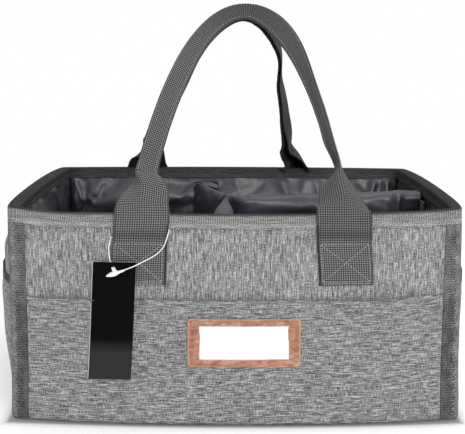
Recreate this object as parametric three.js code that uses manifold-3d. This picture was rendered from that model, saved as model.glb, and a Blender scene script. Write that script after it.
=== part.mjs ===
// A soft open-topped caddy with two carrying handles and a lift-out divider.
// Millimetres, +Z up. The origin is the middle of the underside, and -Y is the front.
// Walls are laid out flat on a box and then bowed by one shared function, so every
// layer, tape and label keeps its place on the wall that carries it.

import * as THREE from 'three';
import { mergeVertices } from 'three/addons/utils/BufferGeometryUtils.js';
import Module from 'manifold-3d';

const wasm = await Module();
wasm.setup();

// Body
const bodyWidth = 380;
const bodyDepth = 246;
const bodyHeight = 186;
const longBow = 9;
const endBow = 5;
const rimSag = 3.5;
const rimSagPowerShare = 6;
const cornerRadius = 6;
const bottomRadius = 8;
const layerGap = 0.3;

// Thickness of each layer, from the outside in
const tapeThickness = 1;
const fabricThickness = 1;
const boardThickness = 2.5;
const liningThickness = 0.7;

// Base, from the table up
const basePanelThickness = 1.2;
const baseBoardThickness = 3;

// Tapes
const cornerTapeWidth = 12.5;
const rimOuterDrop = 14.4;
const rimInnerDrop = 12;
const rimInnerRadius = 1.5;

// Pockets
const longPocketHeight = 108.5;
const longPocketBelly = 1.4;
const pocketSeamFromMiddle = 69.5;
const endPocketHeight = 124;
const leftPocketBelly = 20;
const rightPocketBelly = 9;
const pocketMouthShare = 0.8;
const pocketSquareShare = 4;
const hemDrop = 8;
const hemThickness = 0.8;

// Label on the front pocket
const labelWidth = 96;
const labelHeight = 42;
const labelMiddleX = 7.5;
const labelDrop = 37;
const labelThickness = 1.4;
const labelCorner = 3;
const cardWidth = 76;
const cardHeight = 29.5;
const cardThickness = 0.9;

// Handles
const strapWidth = 46;
const strapThickness = 1.6;
const strapFoldedWidth = 20;
const strapFoldedThickness = 4.2;
const strapEdge = 0.5;
const sewnAbovePocket = 12.5;
const sewnTopDrop = 28;
const handleSpacing = 172;
const frontHandleX = 5;
const backHandleX = -14;
const handleRise = 207;
const handleBend = 8;
const handleClearance = 0.5;
const handleSkew = 4;
const handleShoulder = 35;
const handleEdgeTurn = 66;
const handleArchPowerShare = 1.45;
const foldInsetShare = 1 / 3;
const turnStartShare = 0.55;
const turnSpanShare = 0.4;
const flareShares = [0.25, 0.5, 0.7, 0.85, 1];
const strapStandoff = 0.6;

// Swing tag and its loop
const tagWidth = 35.5;
const tagHeight = 100;
const tagThickness = 0.6;
const tagLean = 2.4;
const tagTopDrop = 16;
const tagLeftOfStrap = 20.5;
const tagEase = 0.5;
const tagHoleDrop = 4.6;
const tagHoleRadius = 2.3;
const strandDiameter = 1;
const strandSideGap = 1.3;
const lockLength = 9;
const lockDiameter = 2.2;
const lockTurn = 35;
const loopRise = 6;
const loopBehindShares = [0.01, 0.1, 0.5, 0.9, 0.99];
const loopCrossShares = [0, 0.3, 0.65, 1];

// Divider
const seamX = -8;
const seamY = 6;
const wingThickness = 7;
const wingDrop = 14;
const wingTipThickness = 0.9;
const wingTaper = 15;
const wingTopRound = 1.6;
const coverThickness = 0.9;
const rearWingEndX = -41;
const frontWingEndX = -12.6;
const longWingEndY = 14;
const flapWidth = 28;
const flapThickness = 1;
const flapAboveFloor = 14.5;
const flapBelowTop = 7;
const loopTapeThickness = 1.2;
const flapLoopGap = 0.3;
const seamRadius = 1.3;

const halfWidth = bodyWidth / 2;
const halfDepth = bodyDepth / 2;
const sewnBottom = longPocketHeight + sewnAbovePocket;
const sewnTop = bodyHeight - sewnTopDrop;
const labelMiddleZ = longPocketHeight - labelDrop;
const tagTopX = frontHandleX - handleSpacing / 2 - tagLeftOfStrap;
const tagTopZ = sewnTop - tagTopDrop;
const wingTop = bodyHeight - wingDrop;
const wingStart = seamRadius + 2 * layerGap;

// Depth of each layer's two faces, measured inward from the outside of the tapes
const fabricOut = tapeThickness + layerGap;
const fabricIn = fabricOut + fabricThickness;
const boardOut = fabricIn + layerGap;
const boardIn = boardOut + boardThickness;
const liningOut = boardIn + layerGap;
const liningIn = liningOut + liningThickness;
const wallFoot = basePanelThickness + layerGap;
const wallTop = bodyHeight - tapeThickness - layerGap;
const baseBoardTop = wallFoot + baseBoardThickness;
const floorTop = baseBoardTop + layerGap + liningThickness;

// Facets
const longSteps = 10;
const endSteps = 6;
const arcSteps = 4;
const riseSteps = 4;
const flatSteps = 2;
const labelLongSteps = 8;
const labelShortSteps = 3;
const tagLongSteps = 5;
const tagShortSteps = 3;
const strapSteps = 4;
const archSteps = 26;
const loopSteps = 84;
const strandSides = 6;
const lockSides = 8;
const holeSides = 12;
const seamSides = 10;

const finishes = {
  heather: { color: 0x929292, roughness: 0.95 },
  tape: { color: 0x636363, roughness: 0.85 },
  navy: { color: 0x30343c, roughness: 0.85 },
  webbing: { color: 0x5e5e5e, roughness: 0.9 },
  board: { color: 0x2c2c2e, roughness: 0.8 },
  lining: { color: 0x505154, roughness: 0.45 },
  leather: { color: 0xb98470, roughness: 0.55 },
  white: { color: 0xf3f3f2, roughness: 0.5 },
  card: { color: 0x151212, roughness: 0.35 },
  hook: { color: 0x2a2b2e, roughness: 0.95 },
};

const caddy = new THREE.Group();

function add(name, geometry, finish) {
  const material = new THREE.MeshStandardMaterial({ metalness: 0, ...finishes[finish] });
  const mesh = new THREE.Mesh(geometry, material);
  mesh.name = name;
  caddy.add(mesh);
}

function spread(from, to, steps) {
  return Array.from({ length: steps + 1 }, (_, i) => from + ((to - from) * i) / steps);
}

// Heights from low to high in rising order, with those of the marks that lie between
function heights(low, high, marks) {
  const inside = marks.filter((z) => z > low + layerGap && z < high - layerGap);
  const rising = [...inside].sort((a, b) => a - b);
  const apart = rising.filter((z, i) => i === 0 || z - rising[i - 1] > layerGap);
  return [low, ...apart, high];
}

function smooth(t) {
  const s = Math.min(Math.max(t, 0), 1);
  return s * s * (3 - 2 * s);
}

// Turns the faces outward if the solid came out inside out.
function closed(points, faces) {
  let volume = 0;
  for (const [a, b, c] of faces) {
    volume += points[a].dot(points[b].clone().cross(points[c]));
  }
  const index = faces.flatMap(([a, b, c]) => (volume < 0 ? [a, c, b] : [a, b, c]));
  const geometry = new THREE.BufferGeometry().setFromPoints(points);
  geometry.setIndex(index);
  return geometry;
}

// A closed slab over a grid: place(u, v, side) gives a point of side 0 or side 1.
function slab(us, vs, place) {
  const points = [];
  const faces = [];
  const wide = us.length;
  const tall = vs.length;
  for (const side of [0, 1]) {
    for (const v of vs) {
      for (const u of us) points.push(place(u, v, side));
    }
  }
  const at = (i, j, side) => side * wide * tall + j * wide + i;
  const quad = (a, b, c, d) => faces.push([a, b, c], [a, c, d]);
  for (let j = 0; j < tall - 1; j += 1) {
    for (let i = 0; i < wide - 1; i += 1) {
      quad(at(i, j, 0), at(i + 1, j, 0), at(i + 1, j + 1, 0), at(i, j + 1, 0));
      quad(at(i, j, 1), at(i, j + 1, 1), at(i + 1, j + 1, 1), at(i + 1, j, 1));
    }
  }
  for (let i = 0; i < wide - 1; i += 1) {
    quad(at(i, 0, 1), at(i + 1, 0, 1), at(i + 1, 0, 0), at(i, 0, 0));
    quad(at(i, tall - 1, 0), at(i + 1, tall - 1, 0), at(i + 1, tall - 1, 1), at(i, tall - 1, 1));
  }
  for (let j = 0; j < tall - 1; j += 1) {
    quad(at(0, j, 0), at(0, j + 1, 0), at(0, j + 1, 1), at(0, j, 1));
    quad(at(wide - 1, j, 1), at(wide - 1, j + 1, 1), at(wide - 1, j + 1, 0), at(wide - 1, j, 0));
  }
  return closed(points, faces);
}

// Skins a row of rings, capped at both ends or joined end to end.
function loft(rings, joined = false) {
  const size = rings[0].length;
  const points = rings.flat();
  const faces = [];
  const spans = joined ? rings.length : rings.length - 1;
  for (let r = 0; r < spans; r += 1) {
    const here = r * size;
    const next = ((r + 1) % rings.length) * size;
    for (let i = 0; i < size; i += 1) {
      const k = (i + 1) % size;
      faces.push([here + i, here + k, next + k], [here + i, next + k, next + i]);
    }
  }
  if (!joined) {
    const last = (rings.length - 1) * size;
    for (let i = 1; i < size - 1; i += 1) {
      faces.push([0, i + 1, i], [last, last + i, last + i + 1]);
    }
  }
  return closed(points, faces);
}

function toManifold(geometry) {
  const bare = geometry.clone();
  bare.deleteAttribute('normal');
  bare.deleteAttribute('uv');
  const merged = mergeVertices(bare);
  const vertProperties = new Float32Array(merged.attributes.position.array);
  const triVerts = new Uint32Array(merged.index.array);
  return new wasm.Manifold(new wasm.Mesh({ numProp: 3, vertProperties, triVerts }));
}

function fromManifold(manifold) {
  const mesh = manifold.getMesh();
  const geometry = new THREE.BufferGeometry();
  geometry.setAttribute('position', new THREE.BufferAttribute(mesh.vertProperties, 3));
  geometry.setIndex(new THREE.BufferAttribute(mesh.triVerts, 1));
  return geometry;
}

// The bow of the walls, the rounded bottom edge and the sag of the front rim
function bow(p) {
  const across = Math.max(1 - (p.x / halfWidth) ** 2, 0);
  const along = Math.max(1 - (p.y / halfDepth) ** 2, 0);
  const rise = Math.min(Math.max(p.z, 0), bottomRadius);
  const tuck = bottomRadius - Math.sqrt(bottomRadius ** 2 - (bottomRadius - rise) ** 2);
  const frontShare = (1 - p.y / halfDepth) / 2;
  const sag = rimSag * across * frontShare * Math.max(p.z / bodyHeight, 0) ** rimSagPowerShare;
  return new THREE.Vector3(
    p.x * (1 + (endBow * along - tuck) / halfWidth),
    p.y * (1 + (longBow * across - tuck) / halfDepth),
    p.z - sag,
  );
}

// A point of a wall: a runs along the wall, z up it, and depth goes in from its outside.
const walls = {
  front: (a, z, depth) => bow(new THREE.Vector3(a, depth - halfDepth, z)),
  back: (a, z, depth) => bow(new THREE.Vector3(a, halfDepth - depth, z)),
  left: (a, z, depth) => bow(new THREE.Vector3(depth - halfWidth, a, z)),
  right: (a, z, depth) => bow(new THREE.Vector3(halfWidth - depth, a, z)),
};

function wallSteps(wall) {
  return wall === 'front' || wall === 'back' ? longSteps : endSteps;
}

// Heights where the walls bend: the rounded foot and the sagging top
const footMarks = [baseBoardTop, bottomRadius];
const wallMarks = [...footMarks, longPocketHeight, sewnTop, bodyHeight - rimOuterDrop];

function wallLayer(wall, span, out, inn) {
  const us = spread(-span, span, wallSteps(wall));
  const vs = heights(wallFoot, wallTop, wallMarks);
  return slab(us, vs, (a, z, side) => walls[wall](a, z, side ? inn : out));
}

// Long walls run from corner to corner and the end walls fit between them.
function makeWalls() {
  for (const wall of ['front', 'back']) {
    const span = halfWidth - cornerRadius;
    add(`${wall}_panel`, wallLayer(wall, span, fabricOut, fabricIn), 'heather');
    add(`${wall}_board`, wallLayer(wall, span, boardOut, boardIn), 'board');
    add(`${wall}_lining`, wallLayer(wall, span, liningOut, liningIn), 'lining');
  }
  for (const wall of ['left', 'right']) {
    const span = halfDepth - cornerRadius;
    const inner = halfDepth - liningIn - layerGap;
    const boardSpan = halfDepth - Math.max(cornerRadius, fabricIn + layerGap);
    add(`${wall}_panel`, wallLayer(wall, span, fabricOut, fabricIn), 'heather');
    add(`${wall}_board`, wallLayer(wall, Math.min(boardSpan, inner), boardOut, boardIn), 'board');
    add(`${wall}_lining`, wallLayer(wall, inner, liningOut, liningIn), 'lining');
  }
}

function baseLayer(depth, low, high) {
  const us = spread(depth - halfWidth, halfWidth - depth, longSteps);
  const vs = spread(depth - halfDepth, halfDepth - depth, endSteps);
  return slab(us, vs, (x, y, side) => bow(new THREE.Vector3(x, y, side ? high : low)));
}

function makeBase() {
  const inside = liningIn + layerGap;
  add('base_panel', baseLayer(fabricOut, 0, basePanelThickness), 'heather');
  add('base_board', baseLayer(inside, wallFoot, baseBoardTop), 'board');
  add('base_lining', baseLayer(inside, baseBoardTop + layerGap, floorTop), 'lining');
}

// Plan point of a rounded rectangle inset by depth. quarter is 0 to 3, turn is 0 to 1.
function cornerPoint(quarter, turn, depth) {
  const radius = Math.max(cornerRadius - depth, rimInnerRadius);
  const angle = (quarter + turn) * (Math.PI / 2);
  const sx = quarter === 0 || quarter === 3 ? 1 : -1;
  const sy = quarter < 2 ? 1 : -1;
  const x = sx * (halfWidth - depth - radius) + radius * Math.cos(angle);
  const y = sy * (halfDepth - depth - radius) + radius * Math.sin(angle);
  return new THREE.Vector2(x, y);
}

function makeCornerTapes() {
  const names = ['back_right', 'back_left', 'front_left', 'front_right'];
  const top = bodyHeight - rimOuterDrop - layerGap;
  const levels = heights(wallFoot, top, wallMarks);
  names.forEach((name, quarter) => {
    const turns = [-1, ...spread(0, 1, arcSteps), 2];
    const place = (turn, z, side) => {
      const depth = side ? tapeThickness : 0;
      const plan = cornerPoint(quarter, Math.min(Math.max(turn, 0), 1), depth);
      const leg = cornerTapeWidth - cornerRadius;
      const before = (quarter * Math.PI) / 2;
      if (turn < 0) {
        plan.x += leg * Math.sin(before);
        plan.y -= leg * Math.cos(before);
      }
      if (turn > 1) {
        plan.x -= leg * Math.cos(before);
        plan.y -= leg * Math.sin(before);
      }
      return bow(new THREE.Vector3(plan.x, plan.y, z));
    };
    add(`corner_tape_${name}`, slab(turns, levels, place), 'tape');
  });
}

// The rim tape is one band folded over the top edge all the way round.
function makeRim() {
  const innerFace = liningIn + layerGap + tapeThickness;
  const shoulder = tapeThickness / 2;
  const section = [
    [0, bodyHeight - rimOuterDrop],
    [0, bodyHeight - shoulder],
    [shoulder, bodyHeight],
    [innerFace - shoulder, bodyHeight],
    [innerFace, bodyHeight - shoulder],
    [innerFace, bodyHeight - rimInnerDrop],
    [innerFace - tapeThickness, bodyHeight - rimInnerDrop],
    [innerFace - tapeThickness, bodyHeight - tapeThickness],
    [tapeThickness, bodyHeight - tapeThickness],
    [tapeThickness, bodyHeight - rimOuterDrop],
  ];
  const rings = [];
  for (let quarter = 0; quarter < 4; quarter += 1) {
    const steps = quarter % 2 === 0 ? longSteps : endSteps;
    for (const turn of spread(0, 1, arcSteps)) {
      rings.push(section.map(([depth, z]) => {
        const plan = cornerPoint(quarter, turn, depth);
        return bow(new THREE.Vector3(plan.x, plan.y, z));
      }));
    }
    for (let i = 1; i < steps; i += 1) {
      rings.push(section.map(([depth, z]) => {
        const from = cornerPoint(quarter, 1, depth);
        const to = cornerPoint((quarter + 1) % 4, 0, depth);
        const plan = from.lerp(to, i / steps);
        return bow(new THREE.Vector3(plan.x, plan.y, z));
      }));
    }
  }
  add('rim_tape', loft(rings, true), 'tape');
}

// How far a long pocket stands off its wall: three flat pouches between sewn lines
function longPocketStand(a, z) {
  const edge = halfWidth - cornerTapeWidth;
  const from = Math.abs(a) < pocketSeamFromMiddle ? -pocketSeamFromMiddle : pocketSeamFromMiddle;
  const to = Math.abs(a) < pocketSeamFromMiddle ? pocketSeamFromMiddle : edge;
  const t = ((Math.abs(a) < pocketSeamFromMiddle ? a : Math.abs(a)) - from) / (to - from);
  const pouch = Math.sin(Math.PI * Math.min(Math.max(t, 0), 1)) ** 2;
  return longPocketBelly * pouch * Math.sin((Math.PI / 2) * Math.min(z / longPocketHeight, 1));
}

function longPocketFace(a, z) {
  return tapeThickness - fabricThickness - longPocketStand(a, z);
}

function makeLongPockets() {
  const edge = halfWidth - cornerTapeWidth - layerGap;
  const side = spread(pocketSeamFromMiddle, edge, endSteps);
  const middle = spread(-pocketSeamFromMiddle, pocketSeamFromMiddle, longSteps);
  const us = [...side.map((a) => -a).reverse(), ...middle.slice(1, -1), ...side];
  const rise = spread(bottomRadius, longPocketHeight, riseSteps);
  const vs = heights(wallFoot, longPocketHeight, [...footMarks, ...rise]);
  for (const wall of ['front', 'back']) {
    const place = (a, z, inner) => {
      const face = longPocketFace(a, z);
      return walls[wall](a, z, inner ? face + fabricThickness : face);
    };
    add(`${wall}_pocket`, slab(us, vs, place), 'heather');
  }
}

function endPocketStand(a, z, belly) {
  const edge = halfDepth - cornerTapeWidth;
  const across = 1 - Math.min(Math.abs(a) / edge, 1) ** pocketSquareShare;
  return belly * across * Math.sin((Math.PI / 2) * Math.min(z / (endPocketHeight * pocketMouthShare), 1));
}

function makeEndPockets() {
  const edge = halfDepth - cornerTapeWidth - layerGap;
  const steps = 2 * endSteps;
  const us = spread(-1, 1, steps).map((t) => edge * Math.sin((Math.PI / 2) * t));
  const hemFoot = endPocketHeight - hemDrop;
  const rise = spread(bottomRadius, hemFoot - layerGap, riseSteps);
  const vs = heights(wallFoot, hemFoot - layerGap, [...footMarks, ...rise]);
  const bellies = { left: leftPocketBelly, right: rightPocketBelly };
  for (const [wall, belly] of Object.entries(bellies)) {
    const skin = (a, z, inner) => {
      const face = tapeThickness - fabricThickness - endPocketStand(a, z, belly);
      return walls[wall](a, z, inner ? face + fabricThickness : face);
    };
    add(`${wall}_pocket`, slab(us, vs, skin), 'heather');
    const hem = (a, z, inner) => {
      const face = tapeThickness - fabricThickness - endPocketStand(a, z, belly);
      return walls[wall](a, z, inner ? face + hemThickness : face);
    };
    add(`${wall}_pocket_hem`, slab(us, [hemFoot, endPocketHeight], hem), 'navy');
  }
}

// A rounded rectangle walked in even steps, for the label's frame
function roundedOutline(width, height, radius) {
  const outline = [];
  const hw = width / 2 - radius;
  const hh = height / 2 - radius;
  const centres = [[hw, hh], [-hw, hh], [-hw, -hh], [hw, -hh]];
  centres.forEach(([cx, cy], quarter) => {
    for (const turn of spread(0, 1, flatSteps)) {
      const angle = (quarter + turn) * (Math.PI / 2);
      outline.push([cx + radius * Math.cos(angle), cy + radius * Math.sin(angle)]);
    }
    const [nx, ny] = centres[(quarter + 1) % 4];
    const count = quarter % 2 === 0 ? labelLongSteps : labelShortSteps;
    const angle = ((quarter + 1) * Math.PI) / 2;
    const ox = radius * Math.cos(angle);
    const oy = radius * Math.sin(angle);
    for (let i = 1; i < count; i += 1) {
      const t = i / count;
      outline.push([cx + (nx - cx) * t + ox, cy + (ny - cy) * t + oy]);
    }
  });
  return outline;
}

function onLabel(x, z, lift) {
  const a = labelMiddleX + x;
  const h = labelMiddleZ + z;
  return walls.front(a, h, longPocketFace(a, h) - layerGap - lift);
}

function makeLabel() {
  const outer = roundedOutline(labelWidth, labelHeight, labelCorner);
  const windowWidth = cardWidth + 2 * layerGap;
  const windowHeight = cardHeight + 2 * layerGap;
  const inner = roundedOutline(windowWidth, windowHeight, layerGap);
  const rings = outer.map(([x, z], i) => {
    const [wx, wz] = inner[i];
    return [
      onLabel(x, z, 0),
      onLabel(x, z, labelThickness),
      onLabel(wx, wz, labelThickness),
      onLabel(wx, wz, 0),
    ];
  });
  add('label_frame', loft(rings, true), 'leather');
  const us = spread(-cardWidth / 2, cardWidth / 2, labelLongSteps);
  const vs = spread(-cardHeight / 2, cardHeight / 2, labelShortSteps);
  add('label_card', slab(us, vs, (x, z, side) => onLabel(x, z, side ? 0 : cardThickness)), 'white');
}

// The sewn ends of the handle straps lie flat on the wall, under the fold line.
function makeSewnEnds(wall, middle) {
  for (const [side, sign] of [['left', -1], ['right', 1]]) {
    const centre = middle + (sign * handleSpacing) / 2;
    const us = spread(centre - strapWidth / 2, centre + strapWidth / 2, strapSteps);
    const vs = spread(sewnBottom, sewnTop, flatSteps);
    const back = fabricOut - layerGap;
    const place = (a, z, inner) => walls[wall](a, z, inner ? back : back - strapThickness);
    add(`${wall}_handle_${side}_end`, slab(us, vs, place), 'webbing');
  }
}

// Where a handle's strap stands off its wall, and where it folds
function handleSeat(middle, isFront) {
  const innermost = handleSpacing / 2 - strapWidth / 2 - Math.abs(middle);
  const bulge = longBow * (1 - (innermost / halfWidth) ** 2);
  const backFace = halfDepth + bulge + strapStandoff;
  const outerX = (handleSpacing - strapWidth) / 2 + Math.abs(middle);
  const edgeSag = isFront ? rimSag * (1 - (innermost / halfWidth) ** 2) : 0;
  const lowSag = edgeSag * (sewnTop / bodyHeight) ** rimSagPowerShare;
  const outerSag = isFront ? rimSag * (1 - (outerX / halfWidth) ** 2) : 0;
  return {
    y: backFace + strapThickness / 2,
    foldZ: sewnTop - lowSag + 2 * layerGap,
    bendZ: bodyHeight - outerSag + 2 * layerGap,
  };
}

// One carrying handle. The strap stands flat against the wall up to the rim, leans in
// over the caddy, narrows where it is folded in half, and goes round the grip. On its
// right leg the folded strap turns edge on.
function makeHandle(wall, middle) {
  const isFront = wall === 'front';
  const seat = handleSeat(middle, isFront);
  const meet = strapFoldedThickness / 2 + handleClearance;
  const lean = Math.asin((seat.y - meet) / (handleRise + strapFoldedWidth / 2));
  const upright = seat.bendZ - seat.foldZ;
  const arc = handleBend * lean;
  const tangentLength = handleBend * Math.tan(lean / 2);
  const cornerZ = seat.bendZ + tangentLength;
  const half = handleSpacing / 2;
  const foldedHalf = half - strapFoldedWidth * foldInsetShare;

  // Side view of the strap: out is the distance of its middle from the centre plane.
  const profile = (s) => {
    if (s < upright) return { out: seat.y, z: seat.foldZ + s, tilt: 0 };
    if (s < upright + arc) {
      const tilt = (s - upright) / handleBend;
      const out = seat.y - handleBend * (1 - Math.cos(tilt));
      return { out, z: seat.bendZ + handleBend * Math.sin(tilt), tilt };
    }
    const on = s - upright - arc + tangentLength;
    return { out: seat.y - on * Math.sin(lean), z: cornerZ + on * Math.cos(lean), tilt: lean };
  };

  const legStart = upright + arc - tangentLength;
  const stations = [];
  const addStation = (x, s, folded, turn) => stations.push({ x, s, folded, turn });
  const leg = (sign) => {
    const rows = [];
    for (const s of [0, upright / 2, upright, upright + arc / 2, upright + arc]) {
      rows.push([sign * half, s, 0, 0]);
    }
    for (const share of flareShares) {
      const s = upright + arc + share * (handleShoulder - tangentLength);
      const x = half + (foldedHalf - half) * smooth(share);
      rows.push([sign * x, s, smooth(share), sign > 0 ? smooth(share) : 0]);
    }
    return rows;
  };
  for (const row of leg(-1)) addStation(...row);
  for (let i = 1; i < archSteps; i += 1) {
    const angle = (Math.PI * i) / archSteps;
    const x = -foldedHalf * Math.cos(angle) + handleSkew * Math.sin(angle);
    const up = handleShoulder + (handleRise - handleShoulder) * Math.sin(angle) ** handleArchPowerShare;
    const turn = smooth((i / archSteps - turnStartShare) / turnSpanShare);
    addStation(x, legStart + up, 1, turn);
  }
  for (const row of leg(1).reverse()) addStation(...row);

  const facing = isFront ? -1 : 1;
  const centre = stations.map(({ x, s }) => {
    const { out, z } = profile(s);
    return new THREE.Vector3(middle + x, facing * out, z);
  });
  const edgeTurn = THREE.MathUtils.degToRad(handleEdgeTurn);
  const rings = stations.map(({ s, folded, turn }, i) => {
    const before = centre[Math.max(i - 1, 0)];
    const after = centre[Math.min(i + 1, centre.length - 1)];
    const along = after.clone().sub(before).normalize();
    const { tilt } = profile(s);
    const face = new THREE.Vector3(0, facing * Math.cos(tilt), Math.sin(tilt));
    if (i === 0 || i === centre.length - 1) along.set(0, 0, i === 0 ? 1 : -1);
    const across = face.clone().cross(along).normalize();
    const out = along.clone().cross(across).normalize();
    across.applyAxisAngle(along, edgeTurn * turn);
    out.applyAxisAngle(along, edgeTurn * turn);
    const a = (strapWidth + (strapFoldedWidth - strapWidth) * folded) / 2;
    const b = (strapThickness + (strapFoldedThickness - strapThickness) * folded) / 2;
    const outline = [
      [-a, b - strapEdge], [-a + strapEdge, b], [0, b], [a - strapEdge, b], [a, b - strapEdge],
      [a, strapEdge - b], [a - strapEdge, -b], [0, -b], [-a + strapEdge, -b], [-a, strapEdge - b],
    ];
    return outline.map(([u, v]) =>
      centre[i].clone().addScaledVector(across, u).addScaledVector(out, v));
  });
  add(`${wall}_handle`, loft(rings), 'webbing');
}

// A round strand through a closed row of points
function strand(points, diameter) {
  const curve = new THREE.CatmullRomCurve3(points, true);
  const frames = curve.computeFrenetFrames(loopSteps, true);
  const rings = [];
  for (let i = 0; i < loopSteps; i += 1) {
    const centre = curve.getPointAt(i / loopSteps);
    rings.push(spread(0, 2 * Math.PI, strandSides).slice(0, -1).map((angle) =>
      centre.clone()
        .addScaledVector(frames.normals[i], (diameter / 2) * Math.cos(angle))
        .addScaledVector(frames.binormals[i], (diameter / 2) * Math.sin(angle))));
  }
  return loft(rings, true);
}

function tagPoint(x, z, depth) {
  const lean = THREE.MathUtils.degToRad(tagLean);
  const dx = x * Math.cos(lean) + z * Math.sin(lean);
  const dz = z * Math.cos(lean) - x * Math.sin(lean);
  return walls.front(tagTopX + dx, tagTopZ + dz, depth);
}

// The tag hangs on a plastic loop that goes behind the front handle's left strap.
function makeTag() {
  const proudest = Math.max(longPocketBelly, strapThickness + layerGap - fabricOut);
  const back = -(proudest + strandDiameter + tagEase);
  const front = back - tagThickness;
  const us = spread(-tagWidth / 2, tagWidth / 2, tagShortSteps);
  const vs = spread(-tagHeight, 0, tagLongSteps);
  const card = slab(us, vs, (x, z, side) => tagPoint(x, z, side ? back : front));
  const hole = tagPoint(0, -tagHoleDrop, (front + back) / 2);
  const drillLength = 4 * tagThickness;
  const drill = new THREE.CylinderGeometry(tagHoleRadius, tagHoleRadius, drillLength, holeSides);
  drill.translate(hole.x, hole.y, hole.z);
  add('swing_tag', fromManifold(toManifold(card).subtract(toManifold(drill))), 'card');

  const strapMiddle = frontHandleX - handleSpacing / 2;
  const leftSide = strapMiddle - strapWidth / 2 - strandSideGap;
  const rightSide = strapMiddle + strapWidth / 2 + strandSideGap;
  const seat = handleSeat(frontHandleX, true);
  const behindY = -(seat.y - (strapThickness + strapStandoff + strandDiameter) / 2);
  const behind = (share) => new THREE.Vector3(
    leftSide + (rightSide - leftSide) * share, behindY, seat.foldZ + loopRise);
  const overSewn = fabricOut - layerGap - strapThickness - layerGap - strandDiameter / 2;
  const overTag = front - layerGap - strandDiameter / 2;
  const underTag = back + layerGap + strandDiameter / 2;
  const at = (x, z, depth) => walls.front(x, z, depth);
  const crossFrom = [rightSide, seat.foldZ - 2 * strandDiameter, overSewn];
  const crossTo = [tagTopX + tagWidth / 2 + strandDiameter, tagTopZ - strandDiameter, overTag];
  const cross = (share) => at(...crossFrom.map((c, i) => c + (crossTo[i] - c) * share));
  const route = [
    ...loopBehindShares.map(behind),
    at(rightSide, seat.foldZ + loopRise / 2, overSewn / 2),
    ...loopCrossShares.map(cross),
    at(hole.x + 2 * tagHoleDrop, hole.z + strandDiameter, overTag),
    at(hole.x + tagHoleRadius, hole.z, overTag),
    at(hole.x, hole.z, (front + back) / 2),
    at(hole.x - strandDiameter, hole.z + tagHoleRadius, underTag),
    at(leftSide, hole.z + loopRise, underTag),
    at(leftSide - strandDiameter / 2, seat.foldZ - loopRise, overSewn),
    at(leftSide - strandDiameter / 2, seat.foldZ + strandDiameter, overSewn / 2),
  ];
  const loop = strand(route, strandDiameter);
  const lock = new THREE.CylinderGeometry(lockDiameter / 2, lockDiameter / 2, lockLength, lockSides);
  const lockLean = THREE.MathUtils.degToRad(lockTurn);
  lock.translate(0, -lockLength / 2, 0);
  lock.rotateX(Math.PI / 2);
  lock.rotateY(lockLean);
  const overTagLock = front - layerGap - lockDiameter / 2;
  const head = at(hole.x + tagHoleRadius + strandDiameter, hole.z + strandDiameter, overTagLock);
  lock.translate(head.x, head.y, head.z);
  const fastener = toManifold(loop).add(toManifold(lock));
  add('tag_loop', fromManifold(fastener), 'white');
}

// Plan outline of a wing, from the seam to the wall it meets. wallAxis is the plan
// axis that the wall is square to, and end is where the wing stops on that axis.
function wingOutline(toward, wallAxis, end, halfThick, start, taper, tip) {
  const seam = new THREE.Vector2(seamX, seamY);
  const along = toward.clone().sub(seam).normalize();
  const side = new THREE.Vector2(-along.y, along.x);
  const point = (distance, offset) =>
    seam.clone().addScaledVector(along, distance).addScaledVector(side, offset);
  const stop = (offset) => {
    const from = point(0, offset);
    return (end - from[wallAxis]) / along[wallAxis];
  };
  return [
    point(start, tip),
    point(taper, halfThick),
    point(stop(halfThick), halfThick),
    point(stop(-halfThick), -halfThick),
    point(taper, -halfThick),
    point(start, -tip),
  ];
}

function wingSolid(outlineAt, levels) {
  return loft(levels.map(([z, thin]) =>
    outlineAt(thin).map((p) => new THREE.Vector3(p.x, p.y, z))));
}

function makeWing(name, toward, wallAxis, end) {
  const bottom = floorTop + layerGap;
  const half = wingThickness / 2;
  const tip = wingTipThickness / 2;
  const outer = wingSolid(
    (thin) => wingOutline(toward, wallAxis, end, half - thin, wingStart, wingTaper, tip),
    [[bottom, 0], [wingTop - wingTopRound, 0], [wingTop, wingTopRound]],
  );
  const inward = Math.sign(end);
  const cavityAt = (clear) => wingOutline(
    toward, wallAxis, end - inward * (coverThickness + clear), half - coverThickness - clear,
    wingTaper + clear, wingTaper + 2 * clear + coverThickness, half - coverThickness - clear);
  const ceiling = wingTop - wingTopRound - coverThickness;
  const cavity = wingSolid(() => cavityAt(0), [[0, 0], [ceiling, 0]]);
  add(`${name}_cover`, fromManifold(toManifold(outer).subtract(toManifold(cavity))), 'lining');
  const core = wingSolid(() => cavityAt(layerGap), [[bottom, 0], [ceiling - layerGap, 0]]);
  add(`${name}_core`, core, 'board');
}

// Each wing ends in a flap with hook tape, which grips a loop tape on the lining.
function makeFlap(name, wall, from, to) {
  const tapeIn = liningIn + layerGap;
  const tapeOut = tapeIn + loopTapeThickness;
  const flapIn = tapeOut + flapLoopGap;
  const us = spread(from, to, flatSteps);
  const vs = spread(floorTop + flapAboveFloor, wingTop - flapBelowTop, flatSteps);
  const layer = (out, inn) => slab(us, vs, (a, z, side) => walls[wall](a, z, side ? inn : out));
  add(`${name}_hook_flap`, layer(flapIn, flapIn + flapThickness), 'hook');
  add(`${wall}_loop_tape`, layer(tapeIn, tapeOut), 'hook');
}

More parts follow.
